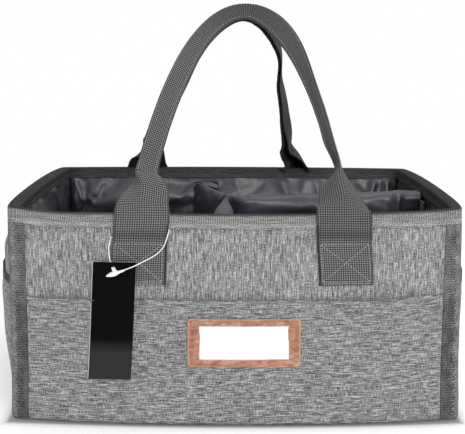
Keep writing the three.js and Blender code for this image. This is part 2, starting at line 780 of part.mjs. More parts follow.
function makeDivider() {
  const flapFace = liningIn + layerGap + loopTapeThickness + flapLoopGap + flapThickness;
  const reach = flapFace + layerGap;
  const half = wingThickness / 2;
  const longEnd = walls.right(longWingEndY, floorTop, reach).x;
  const rearEnd = walls.back(rearWingEndX, bottomRadius, reach).y;
  const frontEnd = walls.front(frontWingEndX - flapWidth, bottomRadius, reach).y;
  makeWing('long_wing', new THREE.Vector2(longEnd, longWingEndY), 'x', longEnd);
  makeWing('rear_wing', new THREE.Vector2(rearWingEndX, rearEnd), 'y', rearEnd);
  makeWing('front_wing', new THREE.Vector2(frontWingEndX, frontEnd), 'y', frontEnd);
  makeFlap('long_wing', 'right', longWingEndY + half - flapWidth, longWingEndY + half);
  makeFlap('rear_wing', 'back', rearWingEndX - half, rearWingEndX - half + flapWidth);
  makeFlap('front_wing', 'front', frontWingEndX + half - flapWidth, frontWingEndX + half);
  const seamLength = wingTop - floorTop - layerGap;
  const seam = new THREE.CylinderGeometry(seamRadius, seamRadius, seamLength, seamSides);
  seam.rotateX(Math.PI / 2);
  seam.translate(seamX, seamY, (wingTop + floorTop + layerGap) / 2);
  add('divider_seam', seam, 'lining');
}

makeBase();
makeWalls();
makeCornerTapes();
makeRim();
makeLongPockets();
makeEndPockets();
makeLabel();
makeSewnEnds('front', frontHandleX);
makeSewnEnds('back', backHandleX);
makeHandle('front', frontHandleX);
makeHandle('back', backHandleX);
makeTag();
makeDivider();

export default caddy;
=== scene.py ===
# The looks of a soft caddy: heather cloth, woven tapes, webbing handles, a satin lining
# and a padded divider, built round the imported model. Metres, +Z up, -Y is the front.

import math

import bpy
import numpy as np
from mathutils import Matrix, Vector


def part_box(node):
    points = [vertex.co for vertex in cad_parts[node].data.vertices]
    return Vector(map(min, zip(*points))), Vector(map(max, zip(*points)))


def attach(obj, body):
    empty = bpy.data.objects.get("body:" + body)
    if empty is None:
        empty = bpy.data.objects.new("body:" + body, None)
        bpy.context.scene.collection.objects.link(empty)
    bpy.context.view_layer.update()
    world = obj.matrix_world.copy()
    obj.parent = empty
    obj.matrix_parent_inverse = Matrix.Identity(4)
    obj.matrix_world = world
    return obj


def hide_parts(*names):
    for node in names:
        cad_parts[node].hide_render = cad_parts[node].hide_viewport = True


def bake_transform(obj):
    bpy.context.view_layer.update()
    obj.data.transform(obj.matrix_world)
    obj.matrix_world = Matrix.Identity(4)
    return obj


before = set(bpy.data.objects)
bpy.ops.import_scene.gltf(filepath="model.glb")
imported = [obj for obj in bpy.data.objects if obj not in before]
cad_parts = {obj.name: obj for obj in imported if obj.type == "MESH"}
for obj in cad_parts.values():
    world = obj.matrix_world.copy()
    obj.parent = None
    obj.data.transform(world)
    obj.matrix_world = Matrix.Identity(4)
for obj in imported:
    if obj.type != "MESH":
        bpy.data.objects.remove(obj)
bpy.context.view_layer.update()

# Body, as the model has it
HALF_WIDTH = 0.190
HALF_DEPTH = 0.123
BODY_HEIGHT = 0.186
LONG_BOW = 0.009
END_BOW = 0.005
RIM_SAG = 0.0035
SAG_POWER = 6
RIM_DIP = 0.0015
LEFT_DIP = 0.0017
BOTTOM_RADIUS = 0.0016
END_RADIUS = 0.005
END_BELLY = 0.0032
REAR_BELLY = 0.0020
FOOT_FLARE = 0.0036
FOOT_BELLY = 0.0038
LEFT_FLARE = (0.0020, 0.0010)
RIGHT_FLARE = (0.0008, 0.0042)
SKIN = 0.0058
CORNER_RADIUS = 0.006
RIM_INNER_RADIUS = 0.0015
GAP = 0.0003
TAPE = 0.001
CLOTH = 0.001
FABRIC_OUT = 0.0013
FABRIC_IN = 0.0023
BOARD_OUT = 0.0027
BOARD_THICKNESS = 0.0030
LINING_IN = 0.0061
WALL_FOOT = 0.0015
WALL_TOP = 0.1847
FLOOR_TOP = 0.0055
BASE_THICKNESS = 0.0012
BOARD_BORDER = 0.006
CORNER_TAPE_WIDTH = 0.0125
RIM_OUTER_DROP = 0.0144
RIM_INNER_DROP = 0.012

# Pockets and label
LONG_POCKET_HEIGHT = 0.1085
LONG_POCKET_BELLY = 0.0014
POCKET_SEAM = 0.0695
MOUTH_RISE = 0.0035
MOUTH_GAPE = 0.0012
MOUTH_ROLL = 0.0006
POCKET_PINCH = 0.0005
POCKET_RIPPLE = 0.0002
END_POCKET_HEIGHT = 0.124
END_POCKET_BELLY = {"left": 0.0178, "right": 0.0105}
END_POCKET_RIPPLE = 0.0007
HEM_DROP = 0.008
HEM_OVER = 0.0004
LABEL_MIDDLE = (0.0075, 0.0715)
LABEL_SIZE = (0.096, 0.042)
CARD_SIZE = (0.076, 0.0295)

# Handles
STRAP_WIDTH = 0.046
STRAP_THICKNESS = 0.0016
STRAP_CLEAR = 0.0006
FOLDED_WIDTH = 0.020
SEWN_BOTTOM = 0.121
SEWN_TOP = 0.158
HANDLE_HALF = 0.086
HANDLE_MIDDLE = {"front": 0.005, "back": -0.014}
HANDLE_BEND = 0.008
HANDLE_SHOULDER = 0.035
HANDLE_SKEW = {"front": 0.004, "back": 0.020}
HANDLE_PUSH = {"front": 0.0, "back": 0.0045}
HANDLE_TOP = {"front": 0.207, "back": 0.2025}
HANDLE_MEET = 0.0026

# Divider
SEAM = (-0.008, 0.006)
WING_TOP = 0.172
WING_THICKNESS = 0.007


def smooth(t):
    s = np.clip(t, 0, 1)
    return s * s * (3 - 2 * s)


def value_noise(x, y, seed):
    """Smooth noise from -1 to 1 with one cell per unit, over arrays x and y."""
    size = 128
    table = np.random.default_rng(seed).uniform(-1, 1, (size, size))
    i = np.floor(x).astype(int)
    j = np.floor(y).astype(int)
    fx = smooth(x - i)
    fy = smooth(y - j)
    low = table[i % size, j % size] * (1 - fx) + table[(i + 1) % size, j % size] * fx
    high = table[i % size, (j + 1) % size] * (1 - fx) + table[(i + 1) % size, (j + 1) % size] * fx
    return low * (1 - fy) + high * fy


def mixed(first, second, share):
    return first * (1 - share) + second * share


def spread(half, count):
    """Even steps from -half to half."""
    return np.linspace(-half, half, count)


def bump(x, middle, width):
    """A soft bump of height 1."""
    return np.exp(-(((x - middle) / width) ** 2))


def unit(vectors):
    """The vectors of the last axis, scaled to length 1."""
    return vectors / np.linalg.norm(vectors, axis=-1)[..., None]


def run_along(path):
    """Length along a path up to each of its points."""
    return np.r_[0, np.cumsum(np.linalg.norm(np.diff(path, axis=0), axis=1))]


def read_off(at, run, values):
    """Rows of values where the run along them reaches at."""
    return np.stack([np.interp(at, run, values[:, k]) for k in range(3)], axis=-1)


def flare(x, y, z):
    """How far the outer cloth swells past the boards: out at the ends, forward at the foot."""
    low = 1 - np.clip(z / BODY_HEIGHT, 0, 1)
    rim = smooth((z - 0.06) / 0.10)
    belly = END_BELLY * (1 - np.minimum(np.abs(y) / HALF_DEPTH, 1) ** 6)
    belly = belly + REAR_BELLY * smooth((y + 0.06) / 0.18)
    left, right = (above + more * low for above, more in (LEFT_FLARE, RIGHT_FLARE))
    ends = np.where(x > 0, right, left) + rim * belly
    outer_x = smooth((np.abs(x) - HALF_WIDTH + SKIN) / 0.0025)
    outer_y = smooth((-y - HALF_DEPTH + SKIN) / 0.0025)
    foot = FOOT_FLARE + FOOT_BELLY * (1 - (x / HALF_WIDTH) ** 4)
    return np.sign(x) * outer_x * ends, -foot * outer_y * smooth((0.055 - z) / 0.053)


def rounding(z, radius):
    """How far out a rounded foot reaches at height z."""
    rise = np.clip(z, 0, radius)
    return np.sqrt(radius**2 - (radius - rise) ** 2)


def bow(x, y, z):
    """The bow of the walls, the flare of their cloth, the foot and the sag of the front rim."""
    x, y, z = np.broadcast_arrays(x, y, z)
    across = np.maximum(1 - (x / HALF_WIDTH) ** 2, 0)
    along = np.maximum(1 - (y / HALF_DEPTH) ** 2, 0)
    tuck = BOTTOM_RADIUS - rounding(z, BOTTOM_RADIUS)
    end_tuck = 0.8 * (END_RADIUS - rounding(z, END_RADIUS))
    front = (1 - y / HALF_DEPTH) / 2
    height = np.maximum(z / BODY_HEIGHT, 0)
    dip = RIM_DIP * smooth((HALF_WIDTH - np.abs(x)) / 0.03) + LEFT_DIP * bump(x, -0.145, 0.035)
    sag = front * (RIM_SAG * across * height**SAG_POWER + dip * height**10)
    out_x, out_y = flare(x, y, z)
    return np.stack(
        [
            x * (1 + (END_BOW * along - end_tuck) / HALF_WIDTH) + out_x,
            y * (1 + (LONG_BOW * across - tuck) / HALF_DEPTH) + out_y,
            z - sag,
        ],
        axis=-1,
    )


def wall(side, a, z, depth):
    """Points of a wall: a along it, z up it and depth inward from its outside."""
    if side == "front":
        return bow(a, depth - HALF_DEPTH, z)
    if side == "back":
        return bow(a, HALF_DEPTH - depth, z)
    if side == "left":
        return bow(depth - HALF_WIDTH, a, z)
    return bow(HALF_WIDTH - depth, a, z)


def build(name, points, faces, uvs, material):
    """A smooth mesh object with its faces pointing out and its cloth coordinates kept."""
    points = np.asarray(points, float).reshape(-1, 3)
    mesh = bpy.data.meshes.new(name)
    mesh.from_pydata(points.tolist(), [], [list(f) for f in faces])
    tris = np.array([(f[0], f[1], f[2]) for f in faces])
    quads = np.array([(f[0], f[2], f[3]) for f in faces if len(f) == 4])
    both = np.vstack([tris, quads]) if len(quads) else tris
    a, b, c = points[both[:, 0]], points[both[:, 1]], points[both[:, 2]]
    if np.einsum("ij,ij->", a, np.cross(b, c)) < 0:
        mesh.flip_normals()
    if uvs is not None:
        layer = mesh.uv_layers.new(name="Cloth")
        index = np.zeros(len(mesh.loops), int)
        mesh.loops.foreach_get("vertex_index", index)
        flat = np.asarray(uvs, np.float32).reshape(-1, 2)[index]
        layer.data.foreach_set("uv", flat.ravel())
    mesh.polygons.foreach_set("use_smooth", [True] * len(mesh.polygons))
    mesh.materials.append(material)
    obj = bpy.data.objects.new(name, mesh)
    bpy.context.scene.collection.objects.link(obj)
    return obj


def grid_faces(rows, columns, start=0, close_rows=False, close_columns=False):
    """Quads of a grid of points that lie row after row."""
    faces = []
    for r in range(rows if close_rows else rows - 1):
        for c in range(columns if close_columns else columns - 1):
            here = start + r * columns
            over = start + ((r + 1) % rows) * columns
            right = (c + 1) % columns
            faces.append((here + c, here + right, over + right, over + c))
    return faces


def sheet_faces(rows, columns):
    """Faces of a closed sheet: a grid, the grid behind it and the border between the two."""
    count = rows * columns
    faces = grid_faces(rows, columns)
    faces += [tuple(i + count for i in reversed(f)) for f in faces]
    ring = list(range(columns))
    ring += [r * columns + columns - 1 for r in range(1, rows)]
    ring += [(rows - 1) * columns + c for c in range(columns - 2, -1, -1)]
    ring += [r * columns for r in range(rows - 2, 0, -1)]
    return faces + [(j, i, i + count, j + count) for i, j in zip(ring, ring[1:] + ring[:1])]


def slab(name, us, vs, place, material):
    """A closed slab over a grid. place(u, v, side) gives the points of side 0 or 1."""
    u, v = np.meshgrid(us, vs)
    points = np.concatenate([place(u, v, side).reshape(-1, 3) for side in (0, 1)])
    flat = np.stack([u, v], axis=-1).reshape(-1, 2)
    return build(name, points, sheet_faces(*u.shape), np.concatenate([flat, flat]), material)


def rings(name, loops, uvs, material, joined=False):
    """A skin over rows of closed rings, capped at both ends unless they are joined."""
    loops = np.asarray(loops)
    count, size = loops.shape[:2]
    faces = grid_faces(count, size, close_rows=joined, close_columns=True)
    if not joined:
        faces.append(tuple(range(size)))
        faces.append(tuple(reversed([(count - 1) * size + i for i in range(size)])))
    return build(name, loops, faces, uvs, material)


def soften(obj, width, segments=2):
    """Rounds the sharp borders of a cloth slab."""
    bevel = obj.modifiers.new("edge", "BEVEL")
    bevel.limit_method = "ANGLE"
    bevel.angle_limit = math.radians(50)
    bevel.width = width
    bevel.segments = segments
    return obj


class Tone:
    """A value in a material. Sums and products of tones add the nodes that work them out."""

    def __init__(self, shade, socket):
        self.shade = shade
        self.socket = socket

    def __add__(self, other):
        return self.shade.math("ADD", self, other)

    def __mul__(self, other):
        return self.shade.math("MULTIPLY", self, other)

    def __sub__(self, other):
        return self.shade.math("SUBTRACT", self, other)

    def __rsub__(self, other):
        return self.shade.math("SUBTRACT", other, self)

    def __pow__(self, other):
        return self.shade.math("POWER", self, other)

    def __abs__(self):
        return self.shade.math("ABSOLUTE", self)

    def sine(self):
        return self.shade.math("SINE", self)

    __radd__ = __add__
    __rmul__ = __mul__


class Shade:
    """A material's nodes, added and linked in short calls."""

    def __init__(self, name):
        self.material = bpy.data.materials.new(name)
        self.material.use_nodes = True
        self.tree = self.material.node_tree
        self.shader = self.tree.nodes["Principled BSDF"]

    def node(self, kind, settings=None, **inputs):
        made = self.tree.nodes.new(kind)
        for key, value in (settings or {}).items():
            setattr(made, key, value)
        for key, value in inputs.items():
            self.feed(made.inputs[key.replace("_", " ")], value)
        return made

    def feed(self, socket, value):
        if isinstance(value, Tone):
            self.tree.links.new(value.socket, socket)
        elif socket.type == "RGBA" and len(value) == 3:
            socket.default_value = (*value, 1)
        else:
            socket.default_value = value

    def feed_all(self, sockets, values):
        for socket, value in zip(sockets, values):
            self.feed(socket, value)

    def math(self, operation, *values):
        made = self.node("ShaderNodeMath", {"operation": operation})
        self.feed_all(made.inputs, values)
        return Tone(self, made.outputs[0])

    def vector(self, operation, *values):
        made = self.node("ShaderNodeVectorMath", {"operation": operation})
        self.feed_all(made.inputs, values)
        return Tone(self, made.outputs[1 if operation == "LENGTH" else 0])

    def cloth(self, across=1.0, along=None):
        """Cloth coordinates, scaled: across and along are repeats per metre."""
        uv = self.node("ShaderNodeUVMap", {"uv_map": "Cloth"}).outputs[0]
        return self.vector("MULTIPLY", Tone(self, uv), (across, along or across, 1.0))

    def place(self, x=1.0, y=None, z=None):
        """Places on the object, in metres, or scaled by repeats per metre."""
        where = self.node("ShaderNodeTexCoord").outputs["Object"]
        return self.vector("MULTIPLY", Tone(self, where), (x, y or x, z or x))

    def noise(self, vector, detail=2.0, roughness=0.5, distortion=0.0):
        kinds = {"Detail": detail, "Roughness": roughness, "Distortion": distortion}
        made = self.node("ShaderNodeTexNoise", None, Vector=vector, Scale=1.0, **kinds)
        return Tone(self, made.outputs["Fac"])

    def cells(self, vector):
        made = self.node("ShaderNodeTexVoronoi", None, Vector=vector)
        return Tone(self, made.outputs["Distance"])

    def split(self, vector):
        made = self.node("ShaderNodeSeparateXYZ", None, Vector=vector)
        return [Tone(self, part) for part in made.outputs]

    def ramp(self, value, stops):
        """Grey or colour stops: (position, colour)."""
        made = self.node("ShaderNodeValToRGB", None, Fac=value)
        band = made.color_ramp
        while len(band.elements) > 1:
            band.elements.remove(band.elements[-1])
        for i, (position, colour) in enumerate(stops):
            element = band.elements.new(position) if i else band.elements[0]
            element.position = position
            rgb = colour if isinstance(colour, tuple) else (colour,) * 3
            element.color = (*rgb, 1)
        return Tone(self, made.outputs["Color"])

    def between(self, value, start, end, before, after):
        """One tone up to start, another from end on, and a straight change between them."""
        made = self.node("ShaderNodeMapRange")
        self.feed_all(made.inputs, (value, start, end, before, after))
        return Tone(self, made.outputs["Result"])

    def mix(self, factor, a, b, blend="MIX"):
        made = self.node("ShaderNodeMix", {"data_type": "RGBA", "blend_type": blend})
        self.feed_all((made.inputs[0], made.inputs[6], made.inputs[7]), (factor, a, b))
        return Tone(self, made.outputs[2])

    def darken(self, colour, *factors):
        for factor in factors:
            colour = self.mix(1.0, colour, factor, "MULTIPLY")
        return colour

    def attribute(self, name):
        made = self.node("ShaderNodeAttribute", {"attribute_name": name})
        return Tone(self, made.outputs["Fac"])

    def finish(self, colour, roughness, height, depth, strength=1.0, sheen=0.0, specular=0.5):
        names = ("Base Color", "Roughness", "Sheen Weight", "Specular IOR Level")
        sockets = [self.shader.inputs[name] for name in names]
        self.feed_all(sockets, (colour, roughness, sheen, specular))
        relief = self.node("ShaderNodeBump", None, Height=height, Distance=depth, Strength=strength)
        self.tree.links.new(relief.outputs["Normal"], self.shader.inputs["Normal"])
        return self.material


WHITE = (1.0, 1.0, 1.0)
MIDDLE_GREY = 0.215


def heather_cloth(name, upright, gain, contrast):
    """Melange cloth whose streaks run up the wall, or along it."""
    s = Shade(name)

    def fibres(across, along, shift, detail=1.0):
        scale = (across, along, 1.0) if upright else (along, across, 1.0)
        moved = s.vector("ADD", s.vector("MULTIPLY", uv, scale), (shift, 2.7 * shift, 0.0))
        return s.noise(moved, detail)

    wander = s.noise(s.cloth(70.0))
    sway_x, sway_y = (0.0012, 0.0) if upright else (0.0, 0.0035)
    drift = s.node("ShaderNodeCombineXYZ", None, X=wander * sway_x, Y=wander * sway_y)
    uv = s.vector("ADD", s.cloth(), Tone(s, drift.outputs[0]))
    parts = [
        (fibres(1450.0, 120.0, 0.0, 2.0), 0.34),
        (fibres(950.0, 60.0, 7.3), 0.17),
        (fibres(420.0, 34.0, 3.1), 0.06),
        (fibres(190.0, 1450.0, 5.7), 0.20),
        (s.noise(s.vector("MULTIPLY", uv, (1350.0, 1350.0, 1.0)), 1.0), 0.20),
        (s.noise(s.cloth(24.0)), 0.03),
    ]
    total = sum(value * weight for value, weight in parts)
    stops = [(0.41, 0.030), (0.455, 0.095), (0.50, MIDDLE_GREY), (0.545, 0.39), (0.595, 0.62)]
    stops = [(at, (MIDDLE_GREY + (tone - MIDDLE_GREY) * contrast) * gain) for at, tone in stops]
    # Painted contact shadow: the cloth darkens to 0.45 along its bottom few millimetres.
    foot = s.between(s.split(s.place())[2], 0.0016, 0.0034, 0.45, 1.0)
    colour = s.darken(s.ramp(total, stops), foot)
    return s.finish(colour, 0.95, total, 0.0007, 0.7, sheen=0.08)


def hem_cloth():
    """Narrow dark tape with a diagonal twill and an uneven tone."""
    s = Shade("navy_hem")
    u, v, _ = s.split(s.cloth())
    wobble = s.noise(s.cloth(120.0), 1.0) * 2.0
    twill = (u * 3960.0 + v * 1980.0 + wobble).sine()
    total = twill * 0.13 + s.noise(s.cloth(1300.0)) * 0.95
    colour = s.ramp(total, [(0.28, 0.0066), (0.46, 0.02), (0.68, 0.0344)])
    return s.finish(colour, 0.9, total, 0.0005, 0.8, sheen=0.05)


def corner_tape_cloth(name, front):
    """Binding tape of a corner: a rough twill on its front leg, smoother round the side."""
    s = Shade(f"corner_twill_{name}")
    u, v, _ = s.split(s.cloth())
    u = u * front
    wobble = s.noise(s.cloth(120.0), 1.0) * 2.4
    twill = (u * 2700.0 + v * 1650.0 + wobble).sine()
    ribs = (v * 2900.0 + wobble).sine()
    side_leg = s.between(u, -0.0032, 0.0, 1.0, 0.0)
    front_leg = s.between(u, 0.0024, 0.0036, 0.0, 1.0)
    grain = s.noise(s.cloth(1250.0))
    patch = s.noise(s.cloth(160.0, 110.0))
    total = s.mix(front_leg, twill, ribs) * 0.05 + grain * 0.72 + patch * 0.28
    rough = s.ramp(total, [(0.33, 0.018), (0.46, 0.090), (0.60, 0.30), (0.70, 0.46)])
    plain = s.ramp(total, [(0.30, 0.045), (0.50, 0.105), (0.70, 0.18)])
    # Painted shade: the long-wall leg is darkened to 0.72 of its tone, and to about 0.45 below 0.100 m.
    low = s.between(v, 0.100, 0.114, 0.62, 1.0)
    colour = s.darken(s.mix(side_leg, rough, plain), s.mix(front_leg, WHITE, low * 0.72))
    return s.finish(colour, 0.9, total, 0.0005, 0.8, sheen=0.05)


def rim_tape_cloth():
    """The rim's tape: lighter outside, with painted shade on its crest and on the inside of the caddy,
    deepest at both ends.
    """
    s = Shade("rim_tape_twill")
    u, v, _ = s.split(s.cloth())
    wobble = s.noise(s.cloth(110.0), 1.0) * 2.5
    twill = (u * 2900.0 + v * 1700.0 + wobble).sine()
    ribs = (u * 3300.0 + wobble).sine()
    grain = s.noise(s.cloth(1250.0))
    streak = s.noise(s.cloth(55.0, 1000.0), 1.0)
    lines = s.mix(s.between(v, 0.005, 0.006, 0.0, 1.0), twill, ribs)
    total = lines * 0.055 + grain * 0.74 + streak * 0.3
    outside = s.ramp(total, [(0.36, 0.038), (0.50, 0.158), (0.66, 0.46)])
    outside = s.darken(outside, s.between(v, 0.005, 0.006, 1.30, 0.98))
    # Painted shade: darker copies of the weave for the crest and the inside.
    crest = s.ramp(total, [(0.36, 0.006), (0.50, 0.020), (0.66, 0.07)])
    inside = s.ramp(total, [(0.36, 0.011), (0.50, 0.044), (0.66, 0.13)])
    inside = s.mix(s.between(v, 0.020, 0.024, 0.0, 1.0), crest, inside)
    # Painted shade: the inside darkens to 0.55 toward both ends.
    ends = s.between(abs(s.split(s.place())[0]), 0.165, 0.182, 1.0, 0.55)
    colour = s.mix(s.between(v, 0.0120, 0.0148, 0.0, 1.0), outside, s.darken(inside, ends))
    return s.finish(colour, 0.9, total, 0.0005, 0.8)


def webbing_cloth():
    """Coarse webbing: a grid of thick light yarns with dark squares between them."""
    s = Shade("webbing_weave")
    pitch, cord = 0.00195, 0.0011
    u, v, _ = s.split(s.cloth())
    wobble = s.noise(s.cloth(90.0), 1.0) * 1.2
    across, along = [abs((run * (math.pi / pitch) + wobble).sine()) ** 1.6 for run in (u, v)]
    yarn = 1.0 - (1.0 - across) * (1.0 - along)
    fuzz = s.noise(s.cloth(2600.0))
    total = yarn * 0.5 + across * along * 0.3 + fuzz * 0.4
    selvedge = (u * (2 * math.pi / cord) + wobble).sine() * 0.12 + fuzz * 0.5 + 0.40
    total = s.mix(s.between(abs(u), 0.0215, 0.0220, 0.0, 1.0), total, selvedge)
    face = s.ramp(total, [(0.32, 0.006), (0.62, 0.040), (0.84, 0.130), (1.00, 0.36)])
    shaded = s.ramp(total, [(0.3, 0.004), (0.7, 0.016), (1.0, 0.060)])
    # Painted shade: the inner attribute mixes in a darker copy of the weave, darker still on the back
    # handle.
    far = s.between(s.split(s.place())[1], 0.0, 0.012, 1.0, 0.28)
    colour = s.mix(s.attribute("inner"), face, s.darken(shaded, far))
    return s.finish(colour, 0.85, total, 0.0006, 0.8, sheen=0.1)


def satin_lining():
    """Satin with painted shade low on the back wall left of the divider and at the right end."""
    s = Shade("satin_lining")
    stretch = s.noise(s.place(22.0, 22.0, 9.0), 2.0, 0.5, 0.6)
    total = s.noise(s.place(900.0), 1.0) * 0.25 + stretch * 0.75
    colour = s.ramp(total, [(0.3, (0.014, 0.016, 0.027)), (0.7, (0.038, 0.040, 0.053))])
    x, y, z = s.split(s.place())
    low = s.between(z, 0.120, 0.166, 0.40, 1.0)
    rear = s.between(y, 0.010, 0.044, 0.0, 1.0)
    left = s.between(x, -0.050, -0.010, 1.0, 0.0)
    end = s.between(x, 0.150, 0.180, 1.0, 0.5)
    colour = s.darken(colour, s.mix(rear * left, WHITE, low), end)
    return s.finish(colour, 0.47, stretch, 0.0022, 0.5, specular=1.0)


def leather_cloth():
    """Tan leatherette with grain, a worn lighter edge and a mottled stain."""
    s = Shade("label_leatherette")
    stain = s.noise(s.place(130.0, 130.0, 260.0), 4.0, 0.65)
    total = stain * 0.7 + s.noise(s.place(120.0, 120.0, 1400.0)) * 0.3
    dark, tan, pale = (0.29, 0.092, 0.042), (0.41, 0.180, 0.112), (0.53, 0.310, 0.230)
    colour = s.ramp(total, [(0.38, dark), (0.50, tan), (0.60, pale)])
    colour = s.mix(s.attribute("worn"), colour, (0.62, 0.40, 0.24))
    return s.finish(colour, 0.5, s.cells(s.place(950.0)) + stain * 0.5, 0.0004, 0.5)


def hook_tape():
    """Short hooks and loops on a dark tape."""
    s = Shade("hook_and_loop")
    total = s.noise(s.place(2600.0)) * 0.5 + s.cells(s.place(900.0))
    colour = s.ramp(total, [(0.3, 0.012), (0.8, 0.045)])
    return s.finish(colour, 0.95, total, 0.0005, sheen=0.3)


CARD = {"scale": 300.0, "detail": 3.0, "dark": 0.9, "strength": 0.15}
PLASTIC = {"scale": 400.0, "detail": 2.0, "dark": 0.92, "strength": 0.2}
THREAD = {"scale": 2500.0, "detail": 1.0, "dark": 0.75, "strength": 1.0, "spread": 0.15}


def mottled(name, colour, roughness, kind, coat=0.0, foot=None, specular=0.5):
    """Card, plastic or thread in a slightly uneven colour, with another tone at its foot, which on the black
    tag is a painted reflection.
    """
    s = Shade(name)
    wave = s.noise(s.place(kind["scale"]), kind["detail"])
    spread = kind.get("spread", 0.2)
    low = tuple(c * kind["dark"] for c in colour)
    tone = s.ramp(wave, [(0.5 - spread, low), (0.5 + spread, colour)])
    if foot:
        tone = s.mix(s.between(s.split(s.place())[2], 0.062, 0.074, 1.0, 0.0), tone, foot)
    s.feed(s.shader.inputs["Coat Weight"], coat)
    s.feed(s.shader.inputs["Coat Roughness"], 0.25)
    return s.finish(tone, roughness, wave, 0.0001, kind["strength"], specular=specular)


UPRIGHT = heather_cloth("heather_upright", True, 1.06, 0.80)
LEVEL = heather_cloth("heather_level", False, 0.92, 0.92)
# The corner tapes, with the sign of the cloth coordinate on each one's long-wall leg
CORNER_LEGS = {"back_right": 1.0, "back_left": -1.0, "front_left": 1.0, "front_right": -1.0}
CORNER_TAPES = {name: corner_tape_cloth(name, sign) for name, sign in CORNER_LEGS.items()}
RIM_TWILL = rim_tape_cloth()
NAVY = hem_cloth()
WEBBING = webbing_cloth()
SATIN = satin_lining()
LEATHER = leather_cloth()
HOOKS = hook_tape()
WHITE_CARD = mottled("white_label", (0.95, 0.95, 0.95), 0.5, CARD, coat=0.05)
BLACK = (0.0026, 0.0020, 0.0020)
# The black tag's lighter foot, below 0.062 m, is a painted reflection.
BLACK_CARD = mottled("black_tag", BLACK, 0.5, CARD, foot=(0.030, 0.027, 0.027), specular=0.04)
TAG_LINER = mottled("tag_edge_stock", (0.62, 0.60, 0.60), 0.6, CARD)
WHITE_PLASTIC = mottled("white_nylon", (0.92, 0.92, 0.92), 0.3, PLASTIC)
DARK_BOARD = mottled("stiffener_board", (0.03, 0.03, 0.03), 0.6, PLASTIC)
LIGHT_THREAD = mottled("light_thread", (0.42, 0.42, 0.41), 0.7, THREAD)
GREY_THREAD = mottled("grey_thread", (0.17, 0.17, 0.17), 0.7, THREAD)
DARK_THREAD = mottled("dark_thread", (0.06, 0.06, 0.06), 0.7, THREAD)


def dress(obj, body, slot, *nodes):
    """Hangs a piece on the body it rides on and hides the nodes it stands for; the slot is not used."""
    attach(obj, body)
    if nodes:
        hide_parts(*nodes)
    return obj


def rounded_slab(name, us, vs, place, material, slot, node, edge=0.0003, segments=2, body="caddy"):
    """A slab with rounded borders that stands for a node."""
    sheet = slab(name, us, vs, place, material)
    return dress(soften(sheet, edge, segments), body, slot, node)


def mark(obj, name, values):
    """Writes one number for each point of a mesh, for its material to read."""
    layer = obj.data.attributes.new(name, "FLOAT", "POINT")
    layer.data.foreach_set("value", np.asarray(values, np.float32))


def circle(sides, side, up):
    """Points of a circle of radius 1 that two unit vectors span."""
    turn = np.arange(sides) * 2 * math.pi / sides
    return np.cos(turn)[:, None] * side + np.sin(turn)[:, None] * up


def stitches(name, path, normals, pitch, width, material, slot, body="caddy"):
    """Sewn stitches: short arched threads along a line that lies on the cloth."""
    cover = 0.72
    sides = 6
    spans = np.linspace(-0.5, 0.5, 6)
    arch = 1 - (2 * spans) ** 2
    path = np.asarray(path, float)
    normals = np.broadcast_to(normals, path.shape)
    run = run_along(path)
    count = max(int(run[-1] / pitch), 1)
    points = []
    faces = []
    for k in range(count):
        at = (k + 0.5) * run[-1] / count + spans * pitch * cover
        centre = read_off(at, run, path)
        normal = unit(read_off(at, run, normals))
        side = np.cross(unit(np.gradient(centre, axis=0)), normal)
        centre = centre + normal * (width * (0.75 * arch - 0.35))[:, None]
        radius = width / 2 * (0.55 + 0.45 * arch)
        start = len(points) * sides
        for i in range(len(spans)):
            points.append(centre[i] + radius[i] * circle(sides, side[i], normal[i]))
        faces += grid_faces(len(spans), sides, start, close_columns=True)
        faces.append(tuple(range(start + sides - 1, start - 1, -1)))
        last = start + (len(spans) - 1) * sides
        faces.append(tuple(range(last, last + sides)))
    return dress(build(name, np.concatenate(points), faces, None, material), body, slot)


FACING = {
    "front": np.array([0.0, -1.0, 0.0]),
    "back": np.array([0.0, 1.0, 0.0]),
    "left": np.array([-1.0, 0.0, 0.0]),
    "right": np.array([1.0, 0.0, 0.0]),
}
LONG_SIDES = ("front", "back")


# Base and walls
def make_base():
    us = spread(HALF_WIDTH - FABRIC_OUT, 90)
    vs = spread(HALF_DEPTH - FABRIC_OUT, 60)

    def place(x, y, side):
        return bow(x, y, BASE_THICKNESS * side)

    rounded_slab("base_cloth", us, vs, place, LEVEL, "heather_fabric", "base_panel", 0.0004)


END_BULGE = {"left": 0.0102, "right": 0.0040}
BULGE_REACH = 0.112
PANEL_PUFF = 0.00035


def end_bulge(side, a, z):
    """An end wall stands out over its pocket, fullest at the pocket's mouth."""
    across = 1 - np.minimum(np.abs(a) / BULGE_REACH, 1) ** 9
    top = smooth((BODY_HEIGHT - RIM_OUTER_DROP - 0.001 - z) / 0.027)
    foot = smooth((z - 0.060) / 0.055)
    return END_BULGE[side] * across * top * foot


